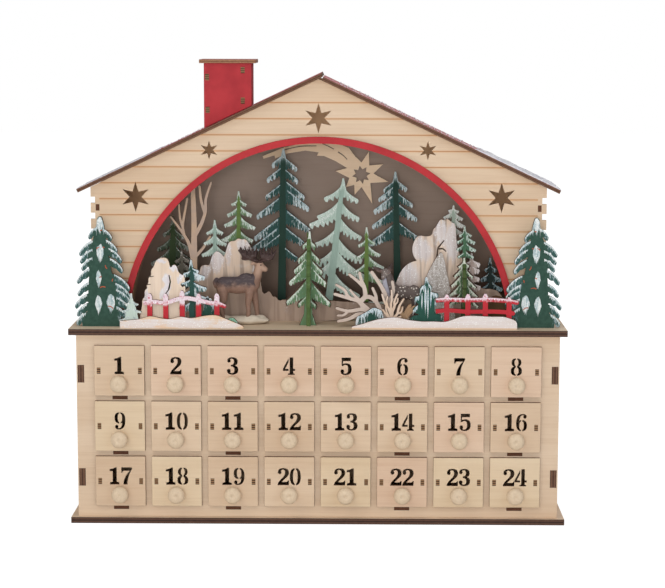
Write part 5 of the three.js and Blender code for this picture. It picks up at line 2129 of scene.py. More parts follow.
class Forest:
    """Everything of cut plywood that stands on the deck."""

    BANK, FENCE, ROCKS, TWIGS, CORNER, MOUND = -45, -42.2, -39.4, -36.6, -36.2, -30
    RIDGE, MIDDLE, REAR, COMET = -4, 11, 26, 38

    def __init__(self) -> None:
        """Builds the forest row by row, from the back."""
        self.make_comet()
        self.make_rear()
        self.make_middle()
        self.make_ridge()
        self.make_centre_tree()
        self.make_garden_left()
        self.make_garden_right()
        self.make_corner_trees()

    def board(self, name: str, loops: Sequence[Loop], finish: Plywood, slot: str, holes: Sequence[Loop] = (),
              stands_for: Sequence[str] = ()) -> None:
        """Adds a plate where its finish starts, cut off at the deck."""
        mesh = above_deck(plate(name, loops, holes, finish.start))
        add(name, mesh, [finish.make(f"{name}_finish")], slot, stands_for=stands_for)

    def fir(self, name: str, form: FirForm, paint: FirPaint, plane: float, slot: str,
            stands_for: Sequence[str] = (), extra: Sequence[Loop] = ()) -> None:
        """Adds a fir plate.

        Args:
            name: The piece's name.
            form: Its outline.
            paint: Its colours.
            plane: Its front face.
            slot: A material slot's name, handed on to add.
            stands_for: The frame pieces that it replaces.
            extra: More outlines that belong to the plate.
        """
        finish = paint.finish(plane, foot=form.foot, top=form.top, trunk_half=form.foot_half + 0.2,
                              reach=form.reach(), snowy_top=form.crown * 0.6)
        mesh = plate(name, [*form.loops(), *extra], (), plane)
        self.add_iced(name, mesh, form.frost(paint.icing), finish, paint, slot, stands_for)

    def add_iced(self, name: str, mesh: bpy.types.Mesh, patches: Sequence[Loop], finish: Plywood,
                 paint: FirPaint, slot: str, stands_for: Sequence[str] = ()) -> None:
        """Adds a plate with patches of frost as a thin coat on its front face.

        Args:
            name: The piece's name.
            mesh: The plate.
            patches: The outlines of the frost.
            finish: The plate's finish.
            paint: The frost's colours.
            slot: A material slot's name, handed on to add.
            stands_for: The frame pieces that it replaces.
        """
        coat = plate("coat", patches, (), finish.start - COAT_STAND_OUT, COAT_DEPTH)
        materials = [finish.make(f"{name}_paint"), paint.frosting(finish.start).make(f"{name}_frost")]
        add(name, merged(name, [(mesh, 0), (coat, 1)]), materials, slot, stands_for=stands_for)

    def make_comet(self) -> None:
        """Makes the comet: a star of uneven rays, a burst, and a tail along the arch."""
        centre = (34.3, 273.8)
        rays = path("106,15 72,20.4 26,20.1 -14.5,23.6 -69,25.9 -108,17.5 -141,16.4 -188,21.6")
        corners = []
        for index, (angle, reach) in enumerate(rays):
            after = rays[index + 1][0] if index + 1 < len(rays) else rays[0][0] - 360
            for turn, length in ((angle, reach), ((angle + after) / 2, 10.2)):
                way = math.radians(turn)
                corners.append((centre[0] + length * math.cos(way), centre[1] + length * math.sin(way)))
        tail = path(
            "30.5,269 24,278.4 13,285 3.5,289.2 -2.5,289.4 -1,292.2 -12,293.6 -26,291.4 -37,287 "
            "-37.5,289.6 -46.5,286.8 -47.4,289 -30,296 -12,300.4 4,301 14,299.8 24,296.2 31.5,286")
        slits = [
            ribbon(smooth(spine, 5, False), 0.45, 0.35) for spine in (
                path("-29,294.4 -16,297.2 -3,297.6"), path("2,299.6 7,297.4 11.5,295"),
                path("15,292.6 19,290 22.5,286.6"))]
        eye = star(centre, 7.6, 8, 0.6, 100)
        finish = Plywood(self.COMET, light=srgb(246, 220, 190), dark=srgb(230, 198, 164))
        self.board("comet", [corners, tail], finish, "birch_plywood", [eye, *slits], ["comet_star"])

    def make_rear(self) -> None:
        """Makes the tall firs at the back."""
        tall_left = FirForm(
            (-31.4, DECK), (-29.7, 296.4), 3.5,
            path("-38.8,284 -43,271.8 -44,257.6 -51.4,241.6 -53.4,223.6 -45,216 -57,213.4"),
            path("-18.8,280.8 -18,271 -12.8,257.6 -9,248.2 -7.8,230 -12,218.6 -16.6,205"),
            neck_half=2.3, rise=0.8, depth=0.62, blunt=4, crown=17, seed=5, sag=0.66)
        mint = FirForm(
            (6.4, DECK), (19.5, 272.5), 3.4,
            path("4.2,256.4 -1.4,241.4 -8,234.8 -4.4,218.4 -6,202 -12,190"),
            path("31.6,254.8 32.4,240 34.4,224.4 35,205.6 38,192 33,176"),
            rise=0.85, depth=0.56, tooth=3.6, crown=15, seed=9)
        tall_right = FirForm(
            (65.2, DECK), (62.3, 277.8), 3.3,
            path("53,263.4 48.9,255.8 45,246 43.8,233.4 40.4,218"),
            path("71.6,264.4 76.4,251 80,239.6 81.6,223.6"),
            neck_half=2.1, rise=0.8, depth=0.62, blunt=3.6, crown=14, seed=14, sag=0.6)
        far_left = FirForm(
            (-122, DECK), (-121, 240), 3.6,
            path("-129,226 -134,214 -139,202 -141,190"),
            path("-112,224 -108,215 -104,204 -101,192"),
            crown=12, seed=21)
        ground = [rectangle(-60, 90, DECK, DECK + 11)]
        self.fir("rear_fir_left", tall_left, DARK_PAINT, self.REAR, "fir_paint", ["rear_forest"], ground)
        self.fir("rear_fir_mint", mint, MINT_PAINT, self.REAR - PLY, "mint_paint")
        self.fir("rear_fir_right", tall_right, DARK_PAINT, self.REAR, "fir_paint")
        self.fir("rear_fir_far_left", far_left, DUSK_PAINT, self.REAR, "fir_paint")

    def make_middle(self) -> None:
        """Makes the small firs and the bare tree behind the ridge."""
        def small(foot: float, top: Point, half: float, left: tuple, right: tuple, seed: int) -> FirForm:
            """Shortens the making of a small fir."""
            return FirForm((foot, DECK), top, half, left, right, 1.2, 8, 0.85, 0.75, 1.7, 2, seed)

        mint = small(-85, (-85.1, 239.3), 2.4, path("-91.6,228.8 -93.8,220.4 -95.6,211"),
                     path("-78.6,229 -75.8,219.8 -74.2,211"), 31)
        green = small(-65.9, (-65.7, 262.6), 2.3,
                      path("-71.4,252 -74.8,243.6 -77.4,235 -80.4,222.4"),
                      path("-59.6,252 -55.2,243.6 -52.4,233 -54.4,222.6"), 32)
        slim = small(38.4, (38.8, 233.4), 2.3, path("32,218.6 30.6,208.6 28.6,197"),
                     path("45.4,220.6 49.8,211 52.8,200.6 52,189"), 33)
        pale = small(109.6, (109.3, 251.8), 2, path("105.6,247.6 101.7,242.2 103.2,235.6 105,228"),
                     path("113.4,247 116.7,241.1 118.8,234.9 117.4,229"), 34)
        leafy = small(117.4, (117.4, 236.6), 2,
                      path("113.4,229.6 111.8,224.4 111.4,218.4 112.4,212.4"),
                      path("122.6,229.6 125.6,224.1 126.3,217.8 124.6,212.2"), 35)
        grey = FirForm((123.4, DECK), (123.4, 214.6), 3.4, ((119, 206.6), (117.4, 199)),
                       path("129.9,206.3 129.5,201.2 129.6,194.4 130.6,187.6"),
                       1.4, 8, 0.55, 1.2, 1.7, 3, 36)
        dark = FirForm((140.6, DECK), (139.6, 209), 3,
                       path("135.6,199.4 132.2,191.8 132.8,183.8 131.4,176"),
                       path("144.8,199.4 148.4,191.6 149.6,183.6 150.6,176"),
                       1.6, 8, 0.8, 1.1, 1.7, 2.6, 37)
        ground = [rectangle(-124, 140, DECK, DECK + 14)]
        self.fir("middle_fir_1", mint, MINT_PAINT, self.MIDDLE - PLY, "mint_paint", ["middle_forest"])
        self.fir("middle_fir_2", green, GREEN_PAINT, self.MIDDLE, "leaf_paint", (), ground)
        self.fir("middle_fir_3", slim, GREEN_PAINT, self.MIDDLE, "leaf_paint")
        self.fir("middle_fir_4", pale, GREY_PAINT, self.MIDDLE - PLY, "mint_paint")
        self.fir("middle_fir_5", leafy, LEAFY_PAINT, self.RIDGE - 3 * PLY, "leaf_paint")
        self.fir("middle_fir_6", grey, ROSY_PAINT, self.RIDGE - 2 * PLY, "mint_paint")
        self.fir("middle_fir_7", dark, NIGHT_PAINT, self.MIDDLE - PLY, "fir_paint")
        dim = small(-112, (-112.2, 214), 2.4, ((-117.6, 205.4), (-119.6, 198.6)),
                    ((-106.6, 206), (-104.4, 199)), 38)
        self.fir("middle_fir_8", dim, DIM_PAINT, self.MIDDLE - PLY, "fir_paint")
        self.make_bare_tree()

    def make_bare_tree(self) -> None:
        """Makes the tall bare tree on the left."""
        spines = (
            (path("-102.6,deck -102.6,200 -102.2,236 -103,266"), 3.3, 1.6),
            (path("-103.4,205 -106.6,219 -112.4,229 -121.2,241"), 1.7, 0.7),
            (path("-110.4,226.6 -111.6,233 -110.4,241 -107.6,256"), 1.2, 0.8),
            (path("-111.4,232 -113.6,240 -114.4,251"), 1, 0.7),
            (path("-101.4,226 -96.6,234.6 -93,245 -92.4,256 -88,269"), 1.7, 0.8),
            (path("-93.2,244 -96.2,254 -97.4,266"), 1.3, 0.9),
            (path("-100.8,209 -95,215.4 -89,225"), 1.4, 0.8))
        loops = [ribbon(smooth(spine, 4, False), start, end) for spine, start, end in spines]
        finish = Painted(self.MIDDLE, grain=Axis.Z, paint=srgb(228, 196, 166), worn=srgb(208, 184, 168),
                         wear=1, sheen=0.7)
        mesh = plate("bare_tree", loops, (), self.MIDDLE)
        add("bare_tree", mesh, [finish.make("bare_tree_paint")], "snow_paint")

    def make_ridge(self) -> None:
        """Makes the rocks left and right, the low ground between them, and the glitter mound."""
        left = path(
            "-142,deck -138,172 -130,178 -112,180 -103,187 -98.4,193.6 -96.6,198.2 -95.6,202.4 "
            "-92.2,203.4 -88.8,202.8 -87.6,207 -86.2,211.6 -83.4,214.4 -81.2,214 -79,212.4 -76.8,209.4 "
            "-75.2,214.6 -73.8,219.6 -72.2,222.6 -67.6,222.8 -65.6,225.2 -62.4,224 -59.4,224.6 -56.6,221 "
            "-54.6,216.4 -52.4,211 -50.6,203 -51,197.4 -47.4,192 -46.6,186 -45.6,179.8 -42.8,180.2 "
            "-40.6,182.2 -38.8,180.4 -37.8,177.4 -34.6,177.6 -32.6,173.6 -27.7,175.4 -24.2,173.4 -16,175 "
            "-4,172.8 8,174.6 21,173.4 40,172.6 58,171 58,deck")
        right = path(
            "52,deck 54,170 58,178 61.2,185 63.8,192 66.6,198.6 70.4,203.4 75.4,206.4 79.9,207.2 "
            "77.6,209.6 76.2,213 75.6,217.4 76.6,221.6 78.6,226 81.6,228 86.4,227 91.8,227.8 92.4,233.2 "
            "94.4,234.2 96.2,237.6 98.2,241.2 101.4,240 104.2,241.6 107.6,238.2 110.6,237.6 111.2,224 "
            "112.8,214.4 116.4,209 119.6,200 124,189 129,187.4 134,184 140,184.6 147,182 151,172 "
            "153,deck")
        cracks = [
            path("94.9,209 96.3,209.4 97.1,217.6 101.8,223.6 101.2,224.4 96,218.4"),
            path("96.8,217.6 100.8,217.8 103.4,215.2 102.8,214.6 100.4,216.6 96.8,216.4")]
        patches = (
            (-83, 206.5, 5.6, 8), (-73.6, 214, 2.2, 9), (-61, 219, 6, 5.6), (-51.5, 200, 2.8, 3.4),
            (-92.6, 198, 4, 5.6),
            (71, 193, 9.4, 12), (83, 217, 8.4, 9.6), (98.6, 232, 4.6, 7.4), (108, 222, 5.6, 15),
            (100, 224.6, 5, 3.4))
        finish = SnowySheet(self.RIDGE, grain=Axis.Z, bare=0.62, streaks=0.8, patches=patches,
                            tint=srgb(204, 192, 192), dim_from=200, dim_to=176, thick=0.72)
        self.board("rocks", [chipped(left), chipped(right)], finish, "rock_plywood", cracks, ["rock_ridge"])
        mound = path(
            "80,deck 81.6,172 84.4,185 87.7,195.4 91.8,204.4 96.2,211.6 98.9,214.4 100.8,211.2 "
            "102.4,204.6 104.9,192 108,178 111.4,deck")
        glitter = Frost(self.RIDGE - PLY, light=srgb(212, 206, 202), dark=srgb(172, 162, 154), glitter=0.2)
        self.board("glitter_mound", [standing(mound)], glitter, "snow_paint")
        hill = path("134,deck 134,166 138,176 145,179 153,174 158,164 158,deck")
        brown = Painted(self.RIDGE - PLY, paint=srgb(112, 86, 58), worn=srgb(92, 70, 46), sheen=0.75)
        self.board("brown_hill", [standing(hill)], brown, "rock_plywood")

    def make_centre_tree(self) -> None:
        """Makes the crossed fir in the middle."""
        form = FirForm(
            (-8.2, DECK), (-6.9, 234.5), 7,
            path("-12.9,222.4 -16.6,211.4 -19.6,202.8 -23.4,193.4 -25.6,177.6 -16.4,175.6"),
            path("-1.8,222.4 1.4,211.2 3.6,201.8 6.8,192.6 10,176.4 -1.2,174.4"),
            neck_half=1.5, crown=12, rise=1.2, depth=0.9, tooth=2, blunt=4.4, seed=41, sag=0.56, flare=9)
        self.crossed("centre_fir", form, CENTRE_PAINT, -25, ["centre_tree"])

    def crossed(self, name: str, form: FirForm, paint: FirPaint, middle: float,
                stands_for: Sequence[str]) -> None:
        """Makes two firs halved into each other, with a burnt line round the painted faces.

        Args:
            name: The piece's name.
            form: The outline of each half.
            paint: Its colours.
            middle: Where the halves cross, from front to back.
            stands_for: The frame pieces that it replaces.
        """
        front = middle - PLY / 2
        centre = (form.foot[0] + form.top[0]) / 2
        lower = replace(form, top=(form.top[0], form.top[1] - 2))

        def turned_loops(inset: float) -> list[Loop]:
            """Gives the outline along Y, straight above its foot and a little lower."""
            return [[(x - lower.axis(z) + middle, z) for x, z in loop] for loop in lower.loops(inset)]

        def skins(loops: Sequence[Loop], core: float, axis: Axis) -> list[bpy.types.Mesh]:
            """Makes the painted skins on the two faces of a half."""
            return [plate("skin", loops, (), start, SKIN_DEPTH, axis) for start in (
                core - PLY / 2 - SKIN_STAND_OUT, core + PLY / 2 + SKIN_STAND_OUT - SKIN_DEPTH)]

        across = plate(f"{name}_across", form.loops(), (), front)
        along = plate(f"{name}_along", turned_loops(0), (), centre - PLY / 2, PLY, Axis.X)
        coat = plate("coat", self.inner_frost(form, paint.icing), (), front - SKIN_FROST_STAND_OUT,
                     SKIN_DEPTH)
        parts = [(across, 0), (along, 3)]
        parts += [(skin, 1) for skin in skins(form.loops(SKIN_INSET), middle, Axis.Y)]
        parts += [(skin, 2) for skin in skins(turned_loops(SKIN_INSET), centre, Axis.X)]
        burnt = Painted(front, paint=BURNT_LINE, worn=srgb(84, 56, 40))
        faces = {"axis": Axis.Y.value, "thickness": ALL_DEPTH, "trunk_half": 1.4, "reach": form.reach()}
        upright = paint.finish(FAR_AHEAD, foot=form.foot, top=form.top, **faces)
        faces.update(axis=Axis.X.value, across=Axis.Y)
        sideways = paint.finish(FAR_AHEAD, foot=(middle, form.foot[1]), top=(middle, form.top[1]), **faces)
        edge = FrostedFir(centre - PLY / 2, Axis.X.value, edge_light=paint.trunk,
                          edge_dark=tuple(part * 0.4 for part in paint.trunk), foot=form.foot, top=form.top,
                          trunk=BURNT_LINE, trunk_half=form.reach(), branch=paint.branch)
        finishes = {"burnt": burnt, "front": upright, "side": sideways, "edge": edge,
                    "frost": paint.frosting(front)}
        materials = [finish.make(f"{name}_{kind}") for kind, finish in finishes.items()]
        add(name, merged(name, [*parts, (coat, 4)]), materials, "leaf_paint", stands_for=stands_for)

    def inner_frost(self, form: FirForm, strength: float) -> list[Loop]:
        """Gives frost that keeps inside the burnt line round a fir.

        Args:
            form: The fir's outline.
            strength: How long the strokes are.

        Returns:
            The patches.
        """
        rng = random.Random(form.seed + 200)
        patches = []
        for tip in form.tips():
            patches.append(icing(form.over(tip, 0.95)[3:], 0.9 * strength, 1.9 * strength, rng, 0.9))
        top = form.top
        for way in (-1, 1):
            side = [(top[0] + way * 0.7, top[1] - 2.6), (top[0] + way * 1.5, top[1] - form.crown * 0.8),
                    (top[0] + way * 2.4, top[1] - form.crown)]
            patches.append(icing(side if way > 0 else side[::-1], 3.4, 3.4, rng, 0.6))
        return patches

    def bank(self, name: str, points: Sequence[Point], bare: float, patches: tuple,
             stands_for: Sequence[str] = ()) -> None:
        """Adds a snow bank in front of a garden, with patches where snow lies for certain."""
        finish = SnowySheet(self.BANK, bare=bare, rise=1.5, patches=patches, tint=srgb(224, 216, 214),
                            cream=srgb(236, 208, 180), thick=0.8)
        self.board(name, [standing(points)], finish, "snow_paint", (), stands_for)

    def fence(self, name: str, posts: Sequence[tuple[float, float]], rails: Sequence[Sequence[Point]],
              foot: float, snow_from: float) -> None:
        """Adds a fence.

        Args:
            name: Its name.
            posts: Each post's middle and top.
            rails: Each rail's line.
            foot: The posts' foot.
            snow_from: The height where snow lies.
        """
        loops = []
        half = 2.1
        for x, top in posts:
            loops.append([(x - half, foot), (x + half, foot), (x + half * 0.95, top - 2.6),
                          (x + half * 0.45, top - 0.4), (x - half * 0.35, top), (x - half * 0.95, top - 2.2)])
        loops.extend(ribbon(smooth(rail, 4, False), 1.65, 1.65, 0.7) for rail in rails)
        finish = SnowTopped(self.FENCE, paint=srgb(196, 34, 48), worn=srgb(170, 26, 40), snow_from=snow_from,
                            snow_to=snow_from + 4)
        rng = random.Random(83)
        rail = [(x, z + 1.4) for x, z in smooth(rails[0], 4, False)]
        patches = [icing(rail, 1.1, 1.1, rng, 0.9)]
        for x, top in posts:
            cap = [(x - 1.7, top - 2.6), (x - 0.6, top - 0.3), (x + 0.8, top - 0.5), (x + 1.7, top - 2.6)]
            patches.append(icing(cap, 2, 2, rng, 0.7))
        self.add_iced(name, plate(name, loops, (), self.FENCE), patches, finish, FENCE_SNOW, "red_paint")

    def make_garden_left(self) -> None:
        """Makes the left garden."""
        self.bank("bank_left", path(
            "-157,deck -157,163.2 -150,163.8 -141,164.8 -133,167 -124,165.4 -118,164.8 -109,166.6 "
            "-100,165.6 -90,167.4 -81,168 -73,165.2 -64,161.6 -58.6,159 -59,deck"), 0.9,
            ((-143, 160.4, 20, 4), (-104, 161.6, 22, 5), (-74, 160.2, 12, 3)), ["garden_left"])
        self.fence("fence_left", path("-133.5,185 -120.8,184.8 -107.7,187.4 -94.6,185 -80.1,185.2"),
                   [path(
                       "-138.6,177 -131,178.2 -121,177.4 -112,180.2 -104,181.2 -96,180 -86,177.6 "
                       "-79,176.8 -73.6,174.6")], 160, 175)
        rock = path(
            "-141,deck -141.6,168 -139.8,174 -139.6,180 -137.4,181.6 -137.8,187.2 -135.2,188.6 "
            "-136.4,191.4 -134.4,192.6 -134.6,197.4 -132.2,198.4 -132.6,203.4 -130,206 -129,210.2 "
            "-125.6,212.8 -121.4,213.4 -118.6,211.6 -117.4,206 -116.4,205.2 -114.6,208 -112,206.6 "
            "-110.8,202 -108.6,199.6 -105.9,199.2 -105.2,190 -105.6,180 -105,deck")
        cracks = [path(
            "-118.6,199.4 -117.8,194 -119.2,187.6 -122.8,182.4 -121.6,183 -117.8,188 -116.6,194 "
            "-117.8,199.4"),
                  path("-135.5,198.2 -130.4,198.7 -130.4,198.1 -135.5,197.4"),
                  path("-138.4,191.6 -132.8,192.2 -132.8,191.6 -138.4,190.8")]
        finish = SnowySheet(
            self.ROCKS, grain=Axis.Z, bare=0.66, streaks=0.15, cream=srgb(240, 220, 200),
            patches=((-119.6, 196, 2.2, 5), (-119.4, 188.4, 2.6, 5.4), (-122.6, 183, 2.6, 4),
                     (-114.6, 205, 3, 3.4), (-109, 197, 2.4, 3.6), (-125, 211, 4, 1.8),
                     (-136.6, 184, 1.6, 5)))
        self.board("garden_rock", [chipped(rock)], finish, "rock_plywood", cracks)
        mint = FirForm((-148, DECK), (-148.1, 185.4), 7,
                       path("-153,176.6 -155.4,171 -157.2,164"),
                       path("-142.8,176.6 -140.6,170.6 -139.2,163.6"),
                       2.4, 7, 0.5, 0.6, 0.4, 1.2, 51)
        self.fir("garden_mint_fir", mint, PALE_MINT_PAINT, self.FENCE, "mint_paint")
        blue = FirForm((-100, DECK), (-100.6, 212), 2.6,
                       path("-106.4,201 -108.4,193 -109.4,184 -110,174"),
                       path("-95,203.4 -90,198.6 -88.6,189.6 -84.8,180.6"),
                       1.2, 9, 0.5, 0.82, 1.9, 2.6, 52)
        self.fir("garden_blue_fir", blue, BLUE_PAINT, self.ROCKS, "fir_paint")
        mound = path("-75.2,deck -73.4,161.4 -70.6,163.6 -67.6,163.4 -65,161 -63.2,deck")
        finish = Frost(self.MOUND, light=srgb(168, 226, 198), dark=srgb(140, 206, 176))
        self.board("mint_mound", [standing(mound)], finish, "mint_paint")
        self.dark_bush("dark_bush_left", path(
            "-94,deck -93.8,166 -91,172 -90.4,178 -87.6,182.6 -85,177 -82.4,176 -81.4,168 -80.6,deck"), 182.6)

    def dark_bush(self, name: str, points: Sequence[Point], top: float) -> None:
        """Adds a dark green bush with snow on it.

        Args:
            name: Its name.
            points: Its outline.
            top: Its top's height.
        """
        middle = sum(x for x, _ in points) / len(points)
        finish = FrostedFir(self.ROCKS, foot=(middle, DECK), top=(middle, top), trunk_half=0.1, reach=9,
                            trunk=srgb(24, 62, 50), branch=srgb(30, 78, 66), frost=0.1, snowy_top=1)
        mesh = plate(name, [standing(points, 3)], (), self.ROCKS)
        rim = smooth(points[2:-2], 3, False)
        rim = [(x * 0.97 + middle * 0.03, z - 0.3) for x, z in rim]
        half = len(rim) // 2
        rng = random.Random(89)
        patches = [icing(rim[:half + 1], 1.6, 5.6, rng, 0.9), icing(rim[half:], 5.6, 1.6, rng, 0.9)]
        self.add_iced(name, above_deck(mesh), patches, finish, BLUE_PAINT, "fir_paint")

    def twigs(self, name: str, spines: Sequence[tuple[Sequence[Point], float, float]], plane: float,
              light: Colour, dark: Colour) -> None:
        """Adds a bare bush of tapering twigs.

        Args:
            name: Its name.
            spines: Each twig's line and its half widths at the start and the end.
            plane: The plate's front face.
            light: Its colour.
            dark: The colour where the paint is thin.
        """
        loops = [ribbon(smooth(spine, 4, False), start, end) for spine, start, end in spines]
        finish = Painted(plane, grain=Axis.Z, paint=light, worn=dark, wear=0.9, sheen=0.75)
        self.board(name, loops, finish, "snow_paint")

    def make_garden_right(self) -> None:
        """Makes the right garden."""
        self.bank("bank_right", path(
            "26.8,deck 27.2,159.4 34,161 41.4,163.4 50,165.6 61.2,166.8 72,164.8 82,163.6 92,163.6 "
            "101,163.4 108,165.6 116,168 126,168.2 136,167.6 146,167.6 152,166.2 156.4,164.4 157.9,162 "
            "157.9,deck"), -0.2, (),
            ["garden_right"])
        self.fence("fence_right", path("102.3,185 119,185.4 132.8,185.8 151.6,183"),
                   [path("93.6,180 102,180.8 119,180.4 136,180.8 150,179.8 158.4,178.4"),
                    path("93.6,171.4 104,172.2 119,171.2 136,171.4 148,171 155.4,169.8")],
                   161, 179.6)
        self.dark_bush("dark_bush_right", path(
            "30,deck 30.2,162 31.4,166.3 37.1,169.4 42,172.8 45.6,173.6 50.5,171.4 51.4,168.4 52.6,164.9 "
            "53,deck"), 174)
        self.make_blue_bush()
        self.twigs("pale_bush", (
            (path("58.6,deck 58.6,165 59,171"), 1.9, 1.1),
            (path("58.8,166 56.4,173 53.2,178 51,184.6"), 1.1, 0.7),
            (path("58.8,169 58,176 58.8,181 58.4,188"), 1.1, 0.6),
            (path("55.6,175 54.6,179 55.4,183"), 0.7, 0.5),
            (path("58.8,170 60.8,175 60.8,179 63.2,184.8"), 1.1, 0.7),
            (path("61,176 63,178.4 63.6,181.6"), 0.7, 0.5),
            (path("58.8,164 63,169 64.6,175 68.2,181"), 1.1, 0.7),
            (path("63,169 66.2,170.6 67.4,174.6"), 0.8, 0.5),
            (path("58.4,163 55.4,167 51.6,172.4"), 1, 0.6),
            (path("58.8,162 61.6,165 66,167"), 0.9, 0.6),
            (path("56.6,166.4 54.6,171 54,175.2"), 0.7, 0.5)), self.ROCKS - 1,
            srgb(228, 208, 192), srgb(212, 182, 154))
        self.twigs("grey_bush", (
            (path("50,deck 47,164 42,169 35,175.6"), 3.2, 2.2),
            (path("37,173 32.6,178.6 26,180.6 13.2,184.2"), 2.1, 1.1),
            (path("27,180 23.4,183 21,187.6 14.4,191.6"), 1.5, 0.9),
            (path("33.6,179 29.6,182.6 25.6,187.6"), 1.3, 0.8),
            (path("34,178.6 37.6,182.6 36.8,189.6 34.6,195 33,201.4"), 2, 1.1),
            (path("36,190.4 31.6,194.6 24.8,200"), 1.4, 1),
            (path("37,182 42,181.6 46.6,177.6 50,171"), 1.7, 1.6),
            (path("46.4,178.6 46,183 43.4,189.2"), 1.5, 1),
            (path("55.4,176 53.4,184 49.6,191.6 42.6,202"), 1.9, 1.3),
            (path("51,164 54.4,170 55.4,177"), 2, 1.9),
            (path("56,178 60,186 59,194.4"), 1.3, 1.1),
            (path("44,168 36,172 24,170.6 14.8,173"), 1.8, 1),
            (path("24,170.8 20.6,167.4 15.6,167"), 1.1, 0.8),
            (path("42,167 32,168 25,164.4 16,162.4"), 1.8, 1.1)), self.TWIGS,
            srgb(214, 198, 186), srgb(196, 178, 166))
        self.twigs("tan_bush", (
            (path("66,deck 68,163 72,168.6 77.6,173.6"), 3, 1.6),
            (path("68,164 66.6,169 65,174"), 2, 1.2),
            (path("70,166 71,170.6 73.6,175"), 1.8, 1.2),
            (path("58,160 53.6,166 48.6,172.6"), 2.2, 1.4)), self.TWIGS + PLY + 0.2,
            srgb(208, 176, 142), srgb(186, 150, 116))
        crossed = FirForm((116.8, DECK), (116.6, 213.4), 5,
                          path("111.4,205.6 108,198 105.8,190.2 104.6,182.6 104.2,174.6"),
                          path("121.2,206.2 124.4,197.4 126.8,189 128.2,181.6 128.8,173.6"),
                          1.2, 9, 1.3, 1, 0.9, 1.4, 61, 0.5, 6)
        self.crossed("garden_crossed_fir", crossed, CROSSED_PAINT, -24, [])

    def make_blue_bush(self) -> None:
        """Makes the blue-green bush with snowy tips."""
        points = path(
            "73,deck 72.6,163.9 75.4,167.2 80.3,168.2 77.4,169.8 75.3,172.2 77.5,174.8 80,176.5 "
            "76.9,179.6 77.4,182.8 80.7,183.9 80.7,188.2 82.2,191.2 84.4,192.2 84.9,197.4 86.5,198.4 "
            "88.1,193.9 90.6,190.3 89.9,186.8 95.1,185.5 95.6,182.4 92.5,180.4 94.4,177.4 93.2,175 "
            "93,169.8 98,168 99.4,165.4 99,deck")
        finish = FrostedFir(self.ROCKS, foot=(86, DECK), top=(86, 197), trunk_half=0.1, reach=12,
                            trunk=srgb(28, 74, 60), branch=srgb(32, 84, 72), frost=-0.6, snowy_top=1)
        rng = random.Random(97)
        lobes = (path(
            "80.9,185 81.2,188.4 82.6,191 84.8,192.2 85.2,197 86.5,197.8 87.9,193.6 90,190.2 89.7,187"),
                 path("77,180 77.6,182.4 80.6,183.4"), path("89.9,186.4 94.6,185.2 95.2,182.8"),
                 path("75.6,171.6 77.4,174 79.4,176"), [(92.8, 179.4), (94.2, 177.6)])
        strokes = [brushed(x, z, wide, high, rng) for x, z, wide, high in (
            (82.6, 179, 0.5, 7), (85.4, 181, 0.9, 11), (87.4, 178, 0.6, 13), (89.6, 181, 0.7, 6))]
        patches = [*(icing(lobe, 4.4, 4.4, rng, 0.8) for lobe in lobes), *strokes]
        mesh = above_deck(plate("blue_bush", [standing(points, 3)], (), self.ROCKS))
        self.add_iced("blue_bush", mesh, patches, finish, BLUE_PAINT, "fir_paint")

    def make_corner_trees(self) -> None:
        """Makes the two big flat firs, each the other's mirror image."""
        for side, mirror in (("left", 1), ("right", -1)):
            CornerTree(f"corner_fir_{side}", mirror, self.CORNER, f"corner_tree_{side}")


